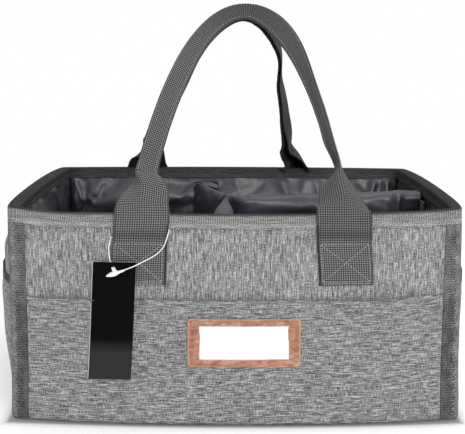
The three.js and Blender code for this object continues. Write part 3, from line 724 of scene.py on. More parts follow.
def make_panels():
    """Outer cloth of the four walls, and the front board cut to the dip of the rim."""
    board_u = spread(HALF_WIDTH - BOARD_BORDER, 60)
    board_v = np.linspace(WALL_FOOT + 0.004, WALL_TOP - 0.0015, 24)

    def on_board(a, z, inner):
        return wall("front", a, z, BOARD_OUT + BOARD_THICKNESS * inner)

    board = slab("front_board_sheet", board_u, board_v, on_board, DARK_BOARD)
    dress(board, "caddy", "stiffener", "front_board")
    for seed, side in enumerate(FACING):
        half, steps = (HALF_WIDTH, 130) if side in LONG_SIDES else (HALF_DEPTH, 84)
        us = spread(half - CORNER_RADIUS, steps)
        vs = np.linspace(WALL_FOOT, WALL_TOP, 64)

        def place(a, z, inner, side=side, seed=seed):
            ripple = value_noise(a * 45, z * 30, seed) + 0.5 * value_noise(a * 110, z * 70, seed + 9)
            puff = PANEL_PUFF * np.abs(ripple) * smooth((BODY_HEIGHT - RIM_OUTER_DROP - z) / 0.01)
            if side in END_BULGE:
                puff = puff + end_bulge(side, a, z)
            return wall(side, a, z, np.where(inner, FABRIC_IN, FABRIC_OUT - puff * 0.9))

        rounded_slab(f"{side}_cloth", us, vs, place, UPRIGHT, "heather_fabric", f"{side}_panel")


# Long pockets: three pouches between sewn lines, with a folded mouth
def pocket_mouth(a):
    """Height of the mouth, which rises a little toward its right end."""
    return LONG_POCKET_HEIGHT - 0.0002 + MOUTH_RISE * smooth((a - 0.125) / 0.05)


def long_pocket_stand(a, z):
    """How far the three pouches stand out."""
    edge = HALF_WIDTH - CORNER_TAPE_WIDTH
    inside = (a + POCKET_SEAM) / (2 * POCKET_SEAM)
    outside = (np.abs(a) - POCKET_SEAM) / (edge - POCKET_SEAM)
    share = np.clip(np.where(np.abs(a) < POCKET_SEAM, inside, outside), 0, 1)
    climb = np.sin(np.pi / 2 * np.minimum(z / LONG_POCKET_HEIGHT, 1))
    return LONG_POCKET_BELLY * np.sin(np.pi * share) ** 2 * climb


def long_pocket_face(side, a, z):
    """Depth of the pocket's outside: pinched at the seams, rippled, rolled at the mouth."""
    seed = 31 if side == "front" else 57
    ripple = value_noise(a * 28, z * 60, seed) + 0.6 * value_noise(a * 70, z * 120, seed + 1)
    from_end = HALF_WIDTH - CORNER_TAPE_WIDTH - np.abs(a)
    free = smooth(z / 0.02) * smooth(from_end / 0.01)
    pinch = POCKET_PINCH * bump(np.abs(a), POCKET_SEAM, 0.0022)
    gape = MOUTH_GAPE * smooth((z - 0.100) / 0.008) * smooth(from_end / 0.006)
    return -gape - long_pocket_stand(a, z) - POCKET_RIPPLE * free * (1.2 + ripple) + pinch


def make_long_pockets():
    edge = HALF_WIDTH - CORNER_TAPE_WIDTH - GAP
    us = np.sort(np.r_[spread(edge, 190), -POCKET_SEAM, POCKET_SEAM])
    shares = np.r_[np.linspace(0, 0.97, 52), 0.985, 1.0]
    for side in LONG_SIDES:

        def place(a, share, inner, side=side):
            z = WALL_FOOT + (pocket_mouth(a) - WALL_FOOT) * share
            roll = MOUTH_ROLL * smooth((share - 0.95) / 0.03)
            face = long_pocket_face(side, a, z)
            return wall(side, a, z, np.where(inner, face + CLOTH, face - roll))

        name = f"{side}_pocket"
        pocket = rounded_slab(f"{name}_cloth", us, shares, place, LEVEL, "heather_fabric", name, 0.0004, 3)
        layer = pocket.data.uv_layers["Cloth"]
        flat = np.zeros(len(layer.data) * 2, np.float32)
        layer.data.foreach_get("uv", flat)
        flat[1::2] *= LONG_POCKET_HEIGHT
        layer.data.foreach_set("uv", flat)
        for at, end in ((-POCKET_SEAM, "left"), (POCKET_SEAM, "right")):
            z = np.linspace(0.010, LONG_POCKET_HEIGHT - 0.002, 60)
            a = np.full_like(z, at)
            line = wall(side, a, z, long_pocket_face(side, a, z))
            seam = f"{name}_seam_{end}"
            stitches(seam, line, FACING[side], 0.0032, 0.00045, GREY_THREAD, "heather_fabric")


# End pockets
def end_stand(a, z, belly):
    """How far an end pocket stands out."""
    edge = HALF_DEPTH - CORNER_TAPE_WIDTH
    across = 1 - np.minimum(np.abs(a) / edge, 1) ** 4
    drawn = 1 - 0.16 * smooth((z - 0.100) / 0.024)
    return belly * across * drawn * np.sin(np.pi / 2 * np.minimum(z / (END_POCKET_HEIGHT * 0.56), 1))


def make_end_pockets():
    edge = HALF_DEPTH - CORNER_TAPE_WIDTH - GAP
    us = edge * np.sin(np.pi / 2 * np.linspace(-1, 1, 90))
    foot = END_POCKET_HEIGHT - HEM_DROP
    levels = np.linspace(WALL_FOOT, foot + 0.001, 52)
    for seed, (side, belly) in enumerate(END_POCKET_BELLY.items()):

        def place(a, z, inner, side=side, belly=belly, seed=seed):
            ripple = value_noise(a * 35, z * 40, 71 + seed) * smooth(z / 0.02)
            fold = smooth((edge - np.abs(a)) / 0.012)
            face = -end_stand(a, z, belly) - END_POCKET_RIPPLE * ripple * fold
            return wall(side, a, z, np.where(inner, face + CLOTH, face))

        def hem(a, z, inner, place=place):
            outside, inside = place(a, z, False), place(a, z, True)
            over = (outside - inside) / CLOTH * HEM_OVER
            return inside - over if inner else outside + over

        name = f"{side}_pocket"
        rounded_slab(f"{name}_cloth", us, levels, place, LEVEL, "heather_fabric", name, 0.0004)
        rows = np.linspace(foot, END_POCKET_HEIGHT, 6)
        rounded_slab(f"{side}_hem_tape", us, rows, hem, NAVY, "hem", f"{name}_hem", 0.0005)


# Tapes
def corner_point(quarter, turn, depth):
    """Plan point of a rounded rectangle inset by depth."""
    radius = max(CORNER_RADIUS - depth, RIM_INNER_RADIUS)
    angle = (quarter + turn) * math.pi / 2
    sx = 1 if quarter in (0, 3) else -1
    sy = 1 if quarter < 2 else -1
    x = sx * (HALF_WIDTH - depth - radius) + radius * math.cos(angle)
    y = sy * (HALF_DEPTH - depth - radius) + radius * math.sin(angle)
    return x, y


def corner_tape_plan(quarter, run, depth):
    """Plan point at run metres along the tape from its middle, on the corner."""
    arc = CORNER_RADIUS * math.pi / 4
    turn = np.clip(run / (2 * arc) + 0.5, 0, 1)
    x, y = corner_point(quarter, turn, depth)
    over = max(abs(run) - arc, 0)
    before = quarter * math.pi / 2
    if run < -arc:
        x += over * math.sin(before)
        y -= over * math.cos(before)
    if run > arc:
        x -= over * math.cos(before)
        y -= over * math.sin(before)
    return x, y


TAPE_GROOVE = 0.0005
TAPE_SWELL = 0.0004
TAPE_WAVE = 0.0002


def make_corner_tapes():
    arc = CORNER_RADIUS * math.pi / 4
    leg = CORNER_TAPE_WIDTH - CORNER_RADIUS
    reach = arc + leg
    border = 0.0012
    runs = spread(reach, 47)
    levels = np.linspace(WALL_FOOT, BODY_HEIGHT - RIM_OUTER_DROP + 0.0008, 90)
    for quarter, name in enumerate(CORNER_LEGS):

        def place(run, z, inner, quarter=quarter):
            on_leg = np.abs(run) - arc - border
            groove = TAPE_GROOVE * bump(on_leg, 0, 0.0006)
            swell = TAPE_SWELL * np.sin(np.pi * np.clip(on_leg / (leg - border), 0, 1))
            wave = TAPE_WAVE * value_noise(run * 150, z * 90, 80 + quarter)
            depth = np.full_like(run, TAPE) if inner else groove - swell - wave
            plan = [corner_tape_plan(quarter, r, d) for r, d in zip(run.ravel(), depth.ravel())]
            x, y = np.array(plan).T.reshape(2, *run.shape)
            return bow(x, y, z)

        node = f"corner_tape_{name}"
        rounded_slab(f"{node}_cloth", runs, levels, place, CORNER_TAPES[name], "binding_tape", node)
        for tag, run in (("a", reach - 0.0016), ("b", 0.0016 - reach)):
            z = np.linspace(0.006, BODY_HEIGHT - RIM_OUTER_DROP - 0.002, 80)
            x, y = corner_tape_plan(quarter, run, -0.0002)
            line = bow(np.full_like(z, x), np.full_like(z, y), z)
            long_wall, end_wall = name.split("_")
            near = FACING[long_wall if abs(abs(y) - HALF_DEPTH) < 0.002 else end_wall]
            seam = f"corner_seam_{name}_{tag}"
            stitches(seam, line, near, 0.003, 0.0004, GREY_THREAD, "binding_tape")


def rim_plan(depth):
    """Plan points round the rim at one depth, with a fine step along the straights."""
    points = []
    for quarter in range(4):
        for turn in np.linspace(0, 1, 7):
            points.append(corner_point(quarter, turn, depth))
        x0, y0 = corner_point(quarter, 1, depth)
        x1, y1 = corner_point((quarter + 1) % 4, 0, depth)
        count = 120 if quarter % 2 == 0 else 76
        for t in np.linspace(0, 1, count + 1)[1:-1]:
            points.append((x0 + (x1 - x0) * t, y0 + (y1 - y0) * t))
    return np.array(points)


OUTER_SEAM_DROP = 0.0092
INNER_SEAM_DROP = 0.0072
SEAM_GROOVE = 0.0005
CREST_RISE = 0.0012
RIM_WAVE = 0.00045


def make_rim():
    """One band folded over the top edge, sewn through, with a slightly wavy lower edge."""
    inner = LINING_IN + GAP + TAPE
    section = []
    for drop in np.linspace(RIM_OUTER_DROP, CREST_RISE, 12):
        section.append((SEAM_GROOVE * bump(drop, OUTER_SEAM_DROP, 0.0009), drop))
    for angle in np.linspace(0, math.pi, 13)[1:-1]:
        section.append((inner / 2 * (1 - math.cos(angle)), CREST_RISE * (1 - math.sin(angle))))
    for drop in np.linspace(CREST_RISE, RIM_INNER_DROP, 10):
        section.append((inner - SEAM_GROOVE * bump(drop, INNER_SEAM_DROP, 0.0009), drop))
    under = CREST_RISE + TAPE
    section += [(inner - TAPE, RIM_INNER_DROP), (inner - TAPE, under)]
    section += [(TAPE, under), (TAPE, RIM_OUTER_DROP)]
    columns = []
    for depth, drop in section:
        plan = rim_plan(depth)
        run = run_along(plan)
        edge = smooth((drop - 0.009) / 0.005) * (1 if depth < inner / 2 else 0.6)
        wave = RIM_WAVE * value_noise(run * 55, np.full_like(run, drop * 60), 5) * edge
        columns.append(bow(plan[:, 0], plan[:, 1], BODY_HEIGHT - drop - wave))
    uvs = np.stack(np.meshgrid(run_along(np.array(section)), run_along(rim_plan(0.0)))[::-1], axis=-1)
    rim = rings("rim_tape_band", np.stack(columns, axis=1), uvs, RIM_TWILL, joined=True)
    dress(rim, "caddy", "binding_tape", "rim_tape")
    skin = 0.0001
    for name, depth, drop, width, thread in (
        ("outside", skin, OUTER_SEAM_DROP, 0.00055, LIGHT_THREAD),
        ("inside", inner - skin, INNER_SEAM_DROP, 0.0004, GREY_THREAD),
        ("inside_low", inner - skin, 0.0108, 0.0004, GREY_THREAD),
        ("edge", 0.0, 0.0134, 0.0004, DARK_THREAD),
    ):
        plan = rim_plan(depth)
        plan = np.vstack([plan, plan[:1]])
        line = bow(plan[:, 0], plan[:, 1], BODY_HEIGHT - drop)
        outward = 1 if depth < inner / 2 else -1
        normals = unit(outward * np.cross(np.gradient(line, axis=0), [0, 0, 1.0]))
        stitches(f"rim_seam_{name}", line, normals, 0.0034, width, thread, "binding_tape")


# Label

# The leather from its outer edge to the window: share of the way in, how far it lifts and how
# worn it is
LABEL_PROFILE = [
    (0, 0, 0.8),
    (0, 0.0009, 0.75),
    (0.05, 0.0014, 0.7),
    (0.11, 0.0016, 0.4),
    (0.17, 0.0013, 0),
    (0.5, 0.0014, 0),
    (0.75, 0.0014, 0),
    (0.9, 0.0015, 0.05),
    (0.98, 0.0013, 0.35),
    (1, 0.0009, 0.4),
    (1, 0, 0.3),
]
CARD_LIFT = 0.0009
CARD_TUCK = 0.0002


def rounded_outline(width, height, radius):
    """Points round a rectangle with rounded corners."""
    outline = []
    hw, hh = width / 2 - radius, height / 2 - radius
    centres = [(hw, hh), (-hw, hh), (-hw, -hh), (hw, -hh)]
    for quarter, (cx, cy) in enumerate(centres):
        for turn in np.linspace(0, 1, 7):
            angle = (quarter + turn) * math.pi / 2
            outline.append((cx + radius * math.cos(angle), cy + radius * math.sin(angle)))
        nx, ny = centres[(quarter + 1) % 4]
        ox, oy = radius * math.cos(angle), radius * math.sin(angle)
        count = 70 if quarter % 2 == 0 else 28
        for t in np.linspace(0, 1, count + 1)[1:-1]:
            outline.append((cx + (nx - cx) * t + ox, cy + (ny - cy) * t + oy))
    return np.array(outline)


def on_label(x, z, lift):
    """A point of the label, which lies on the pocket."""
    a = LABEL_MIDDLE[0] + x
    h = LABEL_MIDDLE[1] + z
    return wall("front", a, h, -long_pocket_stand(a, h) - GAP - lift)


def make_label():
    outer = rounded_outline(*LABEL_SIZE, 0.003)
    window = rounded_outline(*CARD_SIZE, 0.0005)
    ragged = 0.0008 * value_noise(window[:, 0] * 130, window[:, 1] * 170 + 3, 12)
    window = window * (1 + ragged[:, None] / 0.03)
    columns = []
    for share, lift, _ in LABEL_PROFILE:
        line = outer * (1 - share) + window * share
        columns.append(on_label(line[:, 0], line[:, 1], lift))
    leather = rings("label_leather_frame", np.stack(columns, axis=1), None, LEATHER, joined=True)
    mark(leather, "worn", np.tile([worn for _, _, worn in LABEL_PROFILE], len(outer)))
    dress(leather, "caddy", "label_leather", "label_frame")

    def place(x, z, side):
        return on_label(x, z, CARD_LIFT * (1 - side))

    us = spread(CARD_SIZE[0] / 2 + CARD_TUCK, 40)
    vs = spread(CARD_SIZE[1] / 2 + CARD_TUCK, 16)
    card = slab("label_white_card", us, vs, place, WHITE_CARD)
    dress(card, "caddy", "label_card", "label_card")


# Handles
def handle_seat(side):
    """How far out a strap lies, and the heights of its fold line and of its bend."""
    nearest = HANDLE_HALF - STRAP_WIDTH / 2 - abs(HANDLE_MIDDLE[side])
    farthest = nearest + 2 * abs(HANDLE_MIDDLE[side])
    bulge = LONG_BOW * (1 - (nearest / HALF_WIDTH) ** 2)
    sag = RIM_SAG if side == "front" else 0
    low = sag * (1 - (nearest / HALF_WIDTH) ** 2) * (SEWN_TOP / BODY_HEIGHT) ** SAG_POWER
    high = sag * (1 - (farthest / HALF_WIDTH) ** 2)
    return {
        "y": HALF_DEPTH + bulge + STRAP_CLEAR + STRAP_THICKNESS / 2,
        "fold": SEWN_TOP - low + 2 * GAP,
        "bend": BODY_HEIGHT - high + 2 * GAP,
    }


# How a leg opens out above the rim. Each row is the height above the bend, how far the crease
# lies outward of the leg's middle, how many degrees the inner and the outer half fold back,
# and the share of its width that the strap keeps.
LEG_FOLDS = {
    "front left": [
        (-0.004, 0.0, 0, 0, 1.0),
        (0.000, 0.0, 0, 4, 1.0),
        (0.009, 0.0008, 0, 20, 1.0),
        (0.017, 0.0012, 0, 34, 1.0),
        (0.021, 0.0018, 0, 42, 1.0),
        (0.025, 0.0032, 0, 51, 1.0),
        (0.029, 0.0062, 2, 62, 0.98),
        (0.034, 0.0092, 10, 77, 0.92),
        (0.038, 0.0104, 22, 94, 0.86),
        (0.043, 0.0102, 27, 116, 0.82),
        (0.050, 0.0096, 28, 140, 0.81),
    ],
    "front right": [
        (-0.016, 0.0, 0, 0, 1.0),
        (-0.008, 0.0, 0, 2, 1.0),
        (0.000, 0.0, 2, 8, 1.0),
        (0.005, 0.0, 5, 20, 1.0),
        (0.009, 0.0006, 10, 30, 1.0),
        (0.013, 0.0018, 18, 40, 1.0),
        (0.021, 0.0036, 31, 53, 1.0),
        (0.029, 0.0050, 41, 58, 1.0),
        (0.034, 0.0052, 51, 60, 1.0),
        (0.038, 0.0054, 64, 63, 0.98),
        (0.044, 0.0056, 80, 72, 0.95),
        (0.050, 0.0056, 92, 82, 0.92),
        (0.060, 0.0050, 98, 92, 0.89),
    ],
    "back left": [
        (-0.004, 0.0, 0, 0, 1.0),
        (0.000, 0.0, 12, 14, 1.0),
        (0.010, 0.000, 20, 30, 1.0),
        (0.018, 0.002, 22, 44, 0.98),
        (0.026, 0.005, 20, 64, 0.95),
        (0.036, 0.009, 18, 110, 0.9),
        (0.048, 0.010, 20, 150, 0.87),
    ],
    "back right": [
        (-0.003, 0.001, 0, 0, 1.0),
        (0.001, 0.003, 34, 38, 1.0),
        (0.006, 0.0040, 58, 62, 1.0),
        (0.014, 0.0050, 70, 74, 0.98),
        (0.022, 0.0062, 70, 80, 0.95),
        (0.032, 0.0070, 64, 88, 0.92),
        (0.044, 0.007, 60, 104, 0.9),
    ],
}
LEAN_IN = {"front left": 0.0030, "front right": 0.0008, "back left": 0.0022, "back right": 0.0040}
LEG_SHIFT = {"front left": -0.0002, "front right": -0.0012, "back left": 0.0022, "back right": -0.0100}
FOLDED_SHARE = 0.80
FOLD_RADIUS = 0.0009
OPEN_RADIUS = 0.0085
LOOKS_THICK = 0.0014


def turn_at(side, t):
    """How far the folded grip is turned about its own length, in degrees, at share t of the arch."""
    if side == "front":
        return 28 - 26 * smooth((t - 0.14) / 0.2) + 77 * smooth((t - 0.49) / 0.34)
    return 20 + 62 * smooth((t - 0.33) / 0.20) - 30 * smooth((t - 0.70) / 0.3)


def handle_stations(side):
    """Rows along a strap: x from its middle, run above the fold line and share of the arch."""
    seat = handle_seat(side)
    lean = math.asin((seat["y"] - HANDLE_MEET) / (HANDLE_TOP["front"] + FOLDED_WIDTH / 2))
    upright = seat["bend"] - seat["fold"]
    arc = HANDLE_BEND * lean
    tangent = HANDLE_BEND * math.tan(lean / 2)
    folded_half = HANDLE_HALF - FOLDED_WIDTH / 3
    lean_start = upright + arc - tangent

    def profile(s):
        if s < upright:
            return seat["y"], seat["fold"] + s, 0.0
        if s < upright + arc:
            tilt = (s - upright) / HANDLE_BEND
            out = seat["y"] - HANDLE_BEND * (1 - math.cos(tilt))
            return out, seat["bend"] + HANDLE_BEND * math.sin(tilt), tilt
        on = s - upright - arc + tangent
        rise = seat["bend"] + tangent + on * math.cos(lean)
        return seat["y"] - on * math.sin(lean), rise, lean

    rows = []
    sewn = seat["fold"] - SEWN_BOTTOM
    for s in np.linspace(-sewn, upright + arc, 40):
        rows.append((HANDLE_HALF, s))
    for share in np.linspace(0, 1, 25)[1:]:
        s = upright + arc + share * (HANDLE_SHOULDER - tangent)
        rows.append((HANDLE_HALF + (folded_half - HANDLE_HALF) * smooth(share), s))
    stations = [(-x, s, 0.0) for x, s in rows]
    steps = 160
    for i in range(1, steps):
        angle = math.pi * i / steps
        x = -folded_half * math.cos(angle) + HANDLE_SKEW[side] * math.sin(angle)
        x += HANDLE_PUSH[side] * math.sin(2 * angle)
        up = HANDLE_SHOULDER + (HANDLE_TOP[side] - HANDLE_SHOULDER) * math.sin(angle) ** 1.45
        stations.append((x, lean_start + up, i / steps))
    stations += [(x, s, 1.0) for x, s in reversed(rows)]
    return seat, upright, profile, stations


def fold_section(w, inner, outer, radius):
    """A strap's section folded along its middle, with the crease at the origin.

    Gives how far each point lies outward and forward, and its normal in the same terms.
    """
    zone = max(math.radians(inner + outer), 0.05) * radius
    fine = np.linspace(w[0], w[-1], 600)
    bend = np.radians(inner - (inner + outer) * smooth(fine / zone + 0.5))
    step = fine[1] - fine[0]
    u = np.r_[0, np.cumsum((np.cos(bend[1:]) + np.cos(bend[:-1])) / 2 * step)]
    v = np.r_[0, np.cumsum((np.sin(bend[1:]) + np.sin(bend[:-1])) / 2 * step)]
    u -= np.interp(0, fine, u)
    v -= np.interp(0, fine, v)
    at = np.interp(w, fine, bend)
    return np.interp(w, fine, u), np.interp(w, fine, v), -np.sin(at), np.cos(at)


def sewn_shift(side, x, z):
    """The sewn ends of the front straps slant a little away from upright."""
    if side == "back":
        return 0.0
    reach = 0.0026 if x > 0 else -0.0013
    return reach * smooth((0.168 - z) / 0.045)


def strap_rows(side):
    """Every section of a strap: its height over the bend, its points, normals and run."""
    seat, upright, profile, stations = handle_stations(side)
    front = -1 if side == "front" else 1
    places = [profile(max(s, 0)) for _, s, _ in stations]
    centre = []
    for (x, s, _), (out, z, _) in zip(stations, places):
        centre.append((HANDLE_MIDDLE[side] + x, front * out, z + min(s, 0)))
    centre = np.array(centre)
    along = unit(np.gradient(centre, axis=0))
    run = run_along(centre)
    half = STRAP_WIDTH / 2
    beside = np.linspace(0.0034, half, 15)
    w = np.r_[-beside[::-1], spread(0.0026, 11), beside]
    rows = []
    for i, ((x, s, share), (_, z, tilt)) in enumerate(zip(stations, places)):
        face = np.array([0, front * math.cos(tilt), math.sin(tilt)])
        across = unit(np.cross(face, along[i]) * -front)
        forward = unit(face - along[i] * (face @ along[i]))
        height = s - upright
        leg = f"{side} {'left' if x < 0 else 'right'}"
        table = np.array(LEG_FOLDS[leg])
        shift, inner, outer, width = (np.interp(height, table[:, 0], table[:, k]) for k in range(1, 5))
        grip = smooth((height - 0.046) / 0.03)
        turn = turn_at(side, share)
        inner = mixed(inner, turn, grip)
        outer = mixed(outer, 176 - turn, grip)
        width = mixed(width, FOLDED_SHARE, grip)
        folded = STRAP_WIDTH / 4 * FOLDED_SHARE
        turned = folded * np.array([math.cos(math.radians(turn)), math.sin(math.radians(turn))])
        crease = mixed(np.array([shift, 0]), turned, grip) * (1 + 0.14 * smooth((height - 0.12) / 0.06))
        radius = FOLD_RADIUS + OPEN_RADIUS * (1 - smooth((height - 0.012) / 0.036))
        u, v, nu, nv = fold_section(w * width, inner, outer, radius)
        lean_in = LEAN_IN[leg] * smooth((z - 0.140) / 0.046) * (1 - smooth(height / 0.05))
        drift = LEG_SHIFT[leg] * smooth(height / 0.04) * smooth((0.165 - height) / 0.05)
        base = centre[i] + [drift - math.copysign(lean_in, x), 0, 0]
        base = base + (u + crease[0])[:, None] * across + (v + crease[1])[:, None] * forward
        base[:, 0] += sewn_shift(side, x, z + min(s, 0))
        on_wall = wall(side, base[:, 0], base[:, 2], FABRIC_OUT - GAP - LOOKS_THICK / 2)
        base = mixed(on_wall, base, smooth((s + 0.002) / 0.010))
        rows.append((height, base, nu[:, None] * across + nv[:, None] * forward, run[i]))
    return seat, w, rows


# Strengths of the painted shade on the straps
TURNED_SHADE = 0.85
CROWN_SHADE = 0.60
BEND_SHADE = 0.50
LEG_SHADE = 0.26


def strap_shade(side, base, normal, from_top):
    """Painted shade on the points of a section: where they turn inward, along the inward edge low down, at
    the bend, at the grip's top and, on the front handle, over the rim on the right leg.
    """
    front = -1 if side == "front" else 1
    middle = base[len(base) // 2, 0]
    height = base[0, 2]
    limit = 0.35 if side == "front" else 0.80
    turned = TURNED_SHADE * smooth((limit - front * normal[:, 1]) / 0.7)
    inward = np.sign(base[:, 0]) * (middle - base[:, 0])
    shade = smooth((inward - 0.0203) / 0.0014) * (1 - smooth((height - 0.168) / 0.008))
    shade = shade + BEND_SHADE * bump(height, 0.1640, 0.0040) + CROWN_SHADE * bump(from_top, 0, 0.045)
    if side == "front":
        over_rim = smooth((height - 0.158) / 0.012) * smooth((0.230 - height) / 0.035)
        shade = shade + LEG_SHADE * over_rim * smooth((middle - 0.03) / 0.03)
    return np.clip(turned + shade, 0, 1)


GRIP_SEAM = 0.0038
STRAP_WAVE = 0.00025


def make_handle(side):
    seat, w, rows = strap_rows(side)
    front = -1 if side == "front" else 1
    thick = LOOKS_THICK / 2
    top_run = rows[len(rows) // 2][3]
    loops = []
    uvs = []
    shades = []
    for _, base, normal, run in rows:
        edge = STRAP_WAVE * value_noise(np.full_like(w, run * 260), np.sign(w) * 5.5, 17)
        edge *= smooth((np.abs(w) - 0.019) / 0.003)
        body = base + normal * edge[:, None]
        loops.append(np.concatenate([body + normal * thick, (body - normal * thick)[::-1]]))
        row = np.stack([w, np.full_like(w, run)], axis=-1)
        uvs.append(np.concatenate([row, row[::-1]]))
        shades.append(np.concatenate([strap_shade(side, base, normal, run - top_run), np.ones(len(w))]))
    strap = rings(f"{side}_handle_strap", loops, np.array(uvs), WEBBING)
    # The inner attribute is painted shade: strap_shade on one face, full shade on the face behind.
    mark(strap, "inner", np.concatenate(shades))
    soften(strap, 0.0004)
    ends = [f"{side}_handle_left_end", f"{side}_handle_right_end"]
    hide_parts(f"{side}_handle", *ends)
    fold_y = front * (seat["y"] + STRAP_THICKNESS / 2)
    start = (0, fold_y, seat["fold"] - 0.002)
    end = (0, fold_y, seat["fold"] + 0.010)
    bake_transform(strap)
    # The two layers of the grip are sewn together along the raw edges.
    line = []
    outward = []
    for height, base, normal, _ in rows:
        if height > 0.030:
            lift = read_off(GRIP_SEAM - STRAP_WIDTH / 2, w, normal)
            line.append(read_off(GRIP_SEAM - STRAP_WIDTH / 2, w, base) + lift * thick)
            outward.append(lift)
    thread = LIGHT_THREAD if side == "front" else DARK_THREAD
    stitches(f"{side}_grip_stitches", line, outward, 0.0034, 0.0005, thread, "webbing", f"{side}_handle")
    make_box_stitch(side, "left", HANDLE_MIDDLE[side] - HANDLE_HALF)
    make_box_stitch(side, "right", HANDLE_MIDDLE[side] + HANDLE_HALF)


def make_box_stitch(side, name, x):
    """The sewn box with its cross on a strap's end."""
    half = STRAP_WIDTH / 2 - 0.0026
    low, high = SEWN_BOTTOM + 0.0032, SEWN_TOP - 0.0006
    corners = [(-half, low), (half, low), (half, high), (-half, high)]
    again = [(-half + 0.001, high + 0.0017), (half - 0.0004, high + 0.0015)]
    under = [(-half + 0.0012, low - 0.0018), (half, low - 0.0016)]
    lines = [corners + corners[:1], corners[::2], corners[1::2], again, under]
    for k, line in enumerate(lines):
        path = np.concatenate([np.linspace(start, end, 12) for start, end in zip(line, line[1:])])
        a = x + path[:, 0] + sewn_shift(side, x, path[:, 1])
        points = wall(side, a, path[:, 1], FABRIC_OUT - GAP - LOOKS_THICK)
        points = points[np.r_[True, np.linalg.norm(np.diff(points, axis=0), axis=1) > 1e-6]]
        seam = f"{side}_{name}_box_stitch_{k}"
        stitches(seam, points, FACING[side], 0.0027, 0.0007, LIGHT_THREAD, "webbing")


def tube(points, radii, sides=10):
    """Rings of a round tube through points, each with its own radius."""
    points = np.asarray(points, float)
    along = unit(np.gradient(points, axis=0))
    side = unit(np.cross(along[0], [0.3, 0.2, 0.93]))
    made = []
    for point, direction, radius in zip(points, along, radii):
        side = unit(side - direction * (side @ direction))
        made.append(point + radius * circle(sides, side, np.cross(direction, side)))
    return np.array(made)


def closed_spline(points, count):
    """Closed Catmull-Rom curve through points, evenly spaced along its length."""
    points = np.asarray(points, float)
    made = []
    for i in range(len(points)):
        p = [points[(i + k) % len(points)] for k in (-1, 0, 1, 2)]
        for t in np.linspace(0, 1, 24, endpoint=False):
            first = (p[2] - p[0]) * t
            second = (2 * p[0] - 5 * p[1] + 4 * p[2] - p[3]) * t**2
            third = (3 * p[1] - p[0] - 3 * p[2] + p[3]) * t**3
            made.append(p[1] + (first + second + third) / 2)
    made = np.array(made + [points[0]])
    run = run_along(made)
    return read_off(np.linspace(0, run[-1], count), run, made)


# Swing tag
TAG_SIZE = (0.0362, 0.1012)
TAG_TOP = (-0.1012, 0.1415)
TAG_LEAN = math.radians(2.9)
TAG_BACK = -0.0029
TAG_THICKNESS = 0.0006
TAG_CURL = 0.0022
TAG_LINER_SHIFT = 0.0008
TAG_HOLE_DROP = 0.0046


def tag_point(x, z, depth):
    """A point of the leaning tag: x across it, z up from its top edge."""
    return wall("front", TAG_TOP[0] + x + z * math.tan(TAG_LEAN), TAG_TOP[1] + z, depth)


def make_tag():
    us = spread(TAG_SIZE[0] / 2, 22)
    vs = np.linspace(-TAG_SIZE[1], 0, 54)

    def face(x, z, side):
        low = -z / TAG_SIZE[1]
        curl = TAG_CURL * np.clip((low - 0.55) / 0.45, 0, 1) ** 2
        return tag_point(x, z, TAG_BACK - TAG_THICKNESS * (1 - side) - curl)

    def liner(x, z, side):
        return face(x, z, 1) + np.array([0, 0.00005 + 0.0003 * side, 0])

    rounded_slab(
        "swing_tag_card", us, vs, face, BLACK_CARD, "tag_card", "swing_tag", 0.00012, body="swing_tag"
    )
    back = slab("swing_tag_back_card", us - TAG_LINER_SHIFT, vs, liner, TAG_LINER)
    dress(back, "swing_tag", "tag_card")
    make_tag_loop()


def plastic_piece(name, start, end, shares, radii, sides):
    """A rounded piece of the loop along a straight line."""
    line = start + (end - start) * np.array(shares)[:, None]
    piece = rings(name, tube(line, radii, sides), None, WHITE_PLASTIC)
    piece.modifiers.new("round", "SUBSURF").levels = 1
    dress(piece, "swing_tag", "tag_plastic")


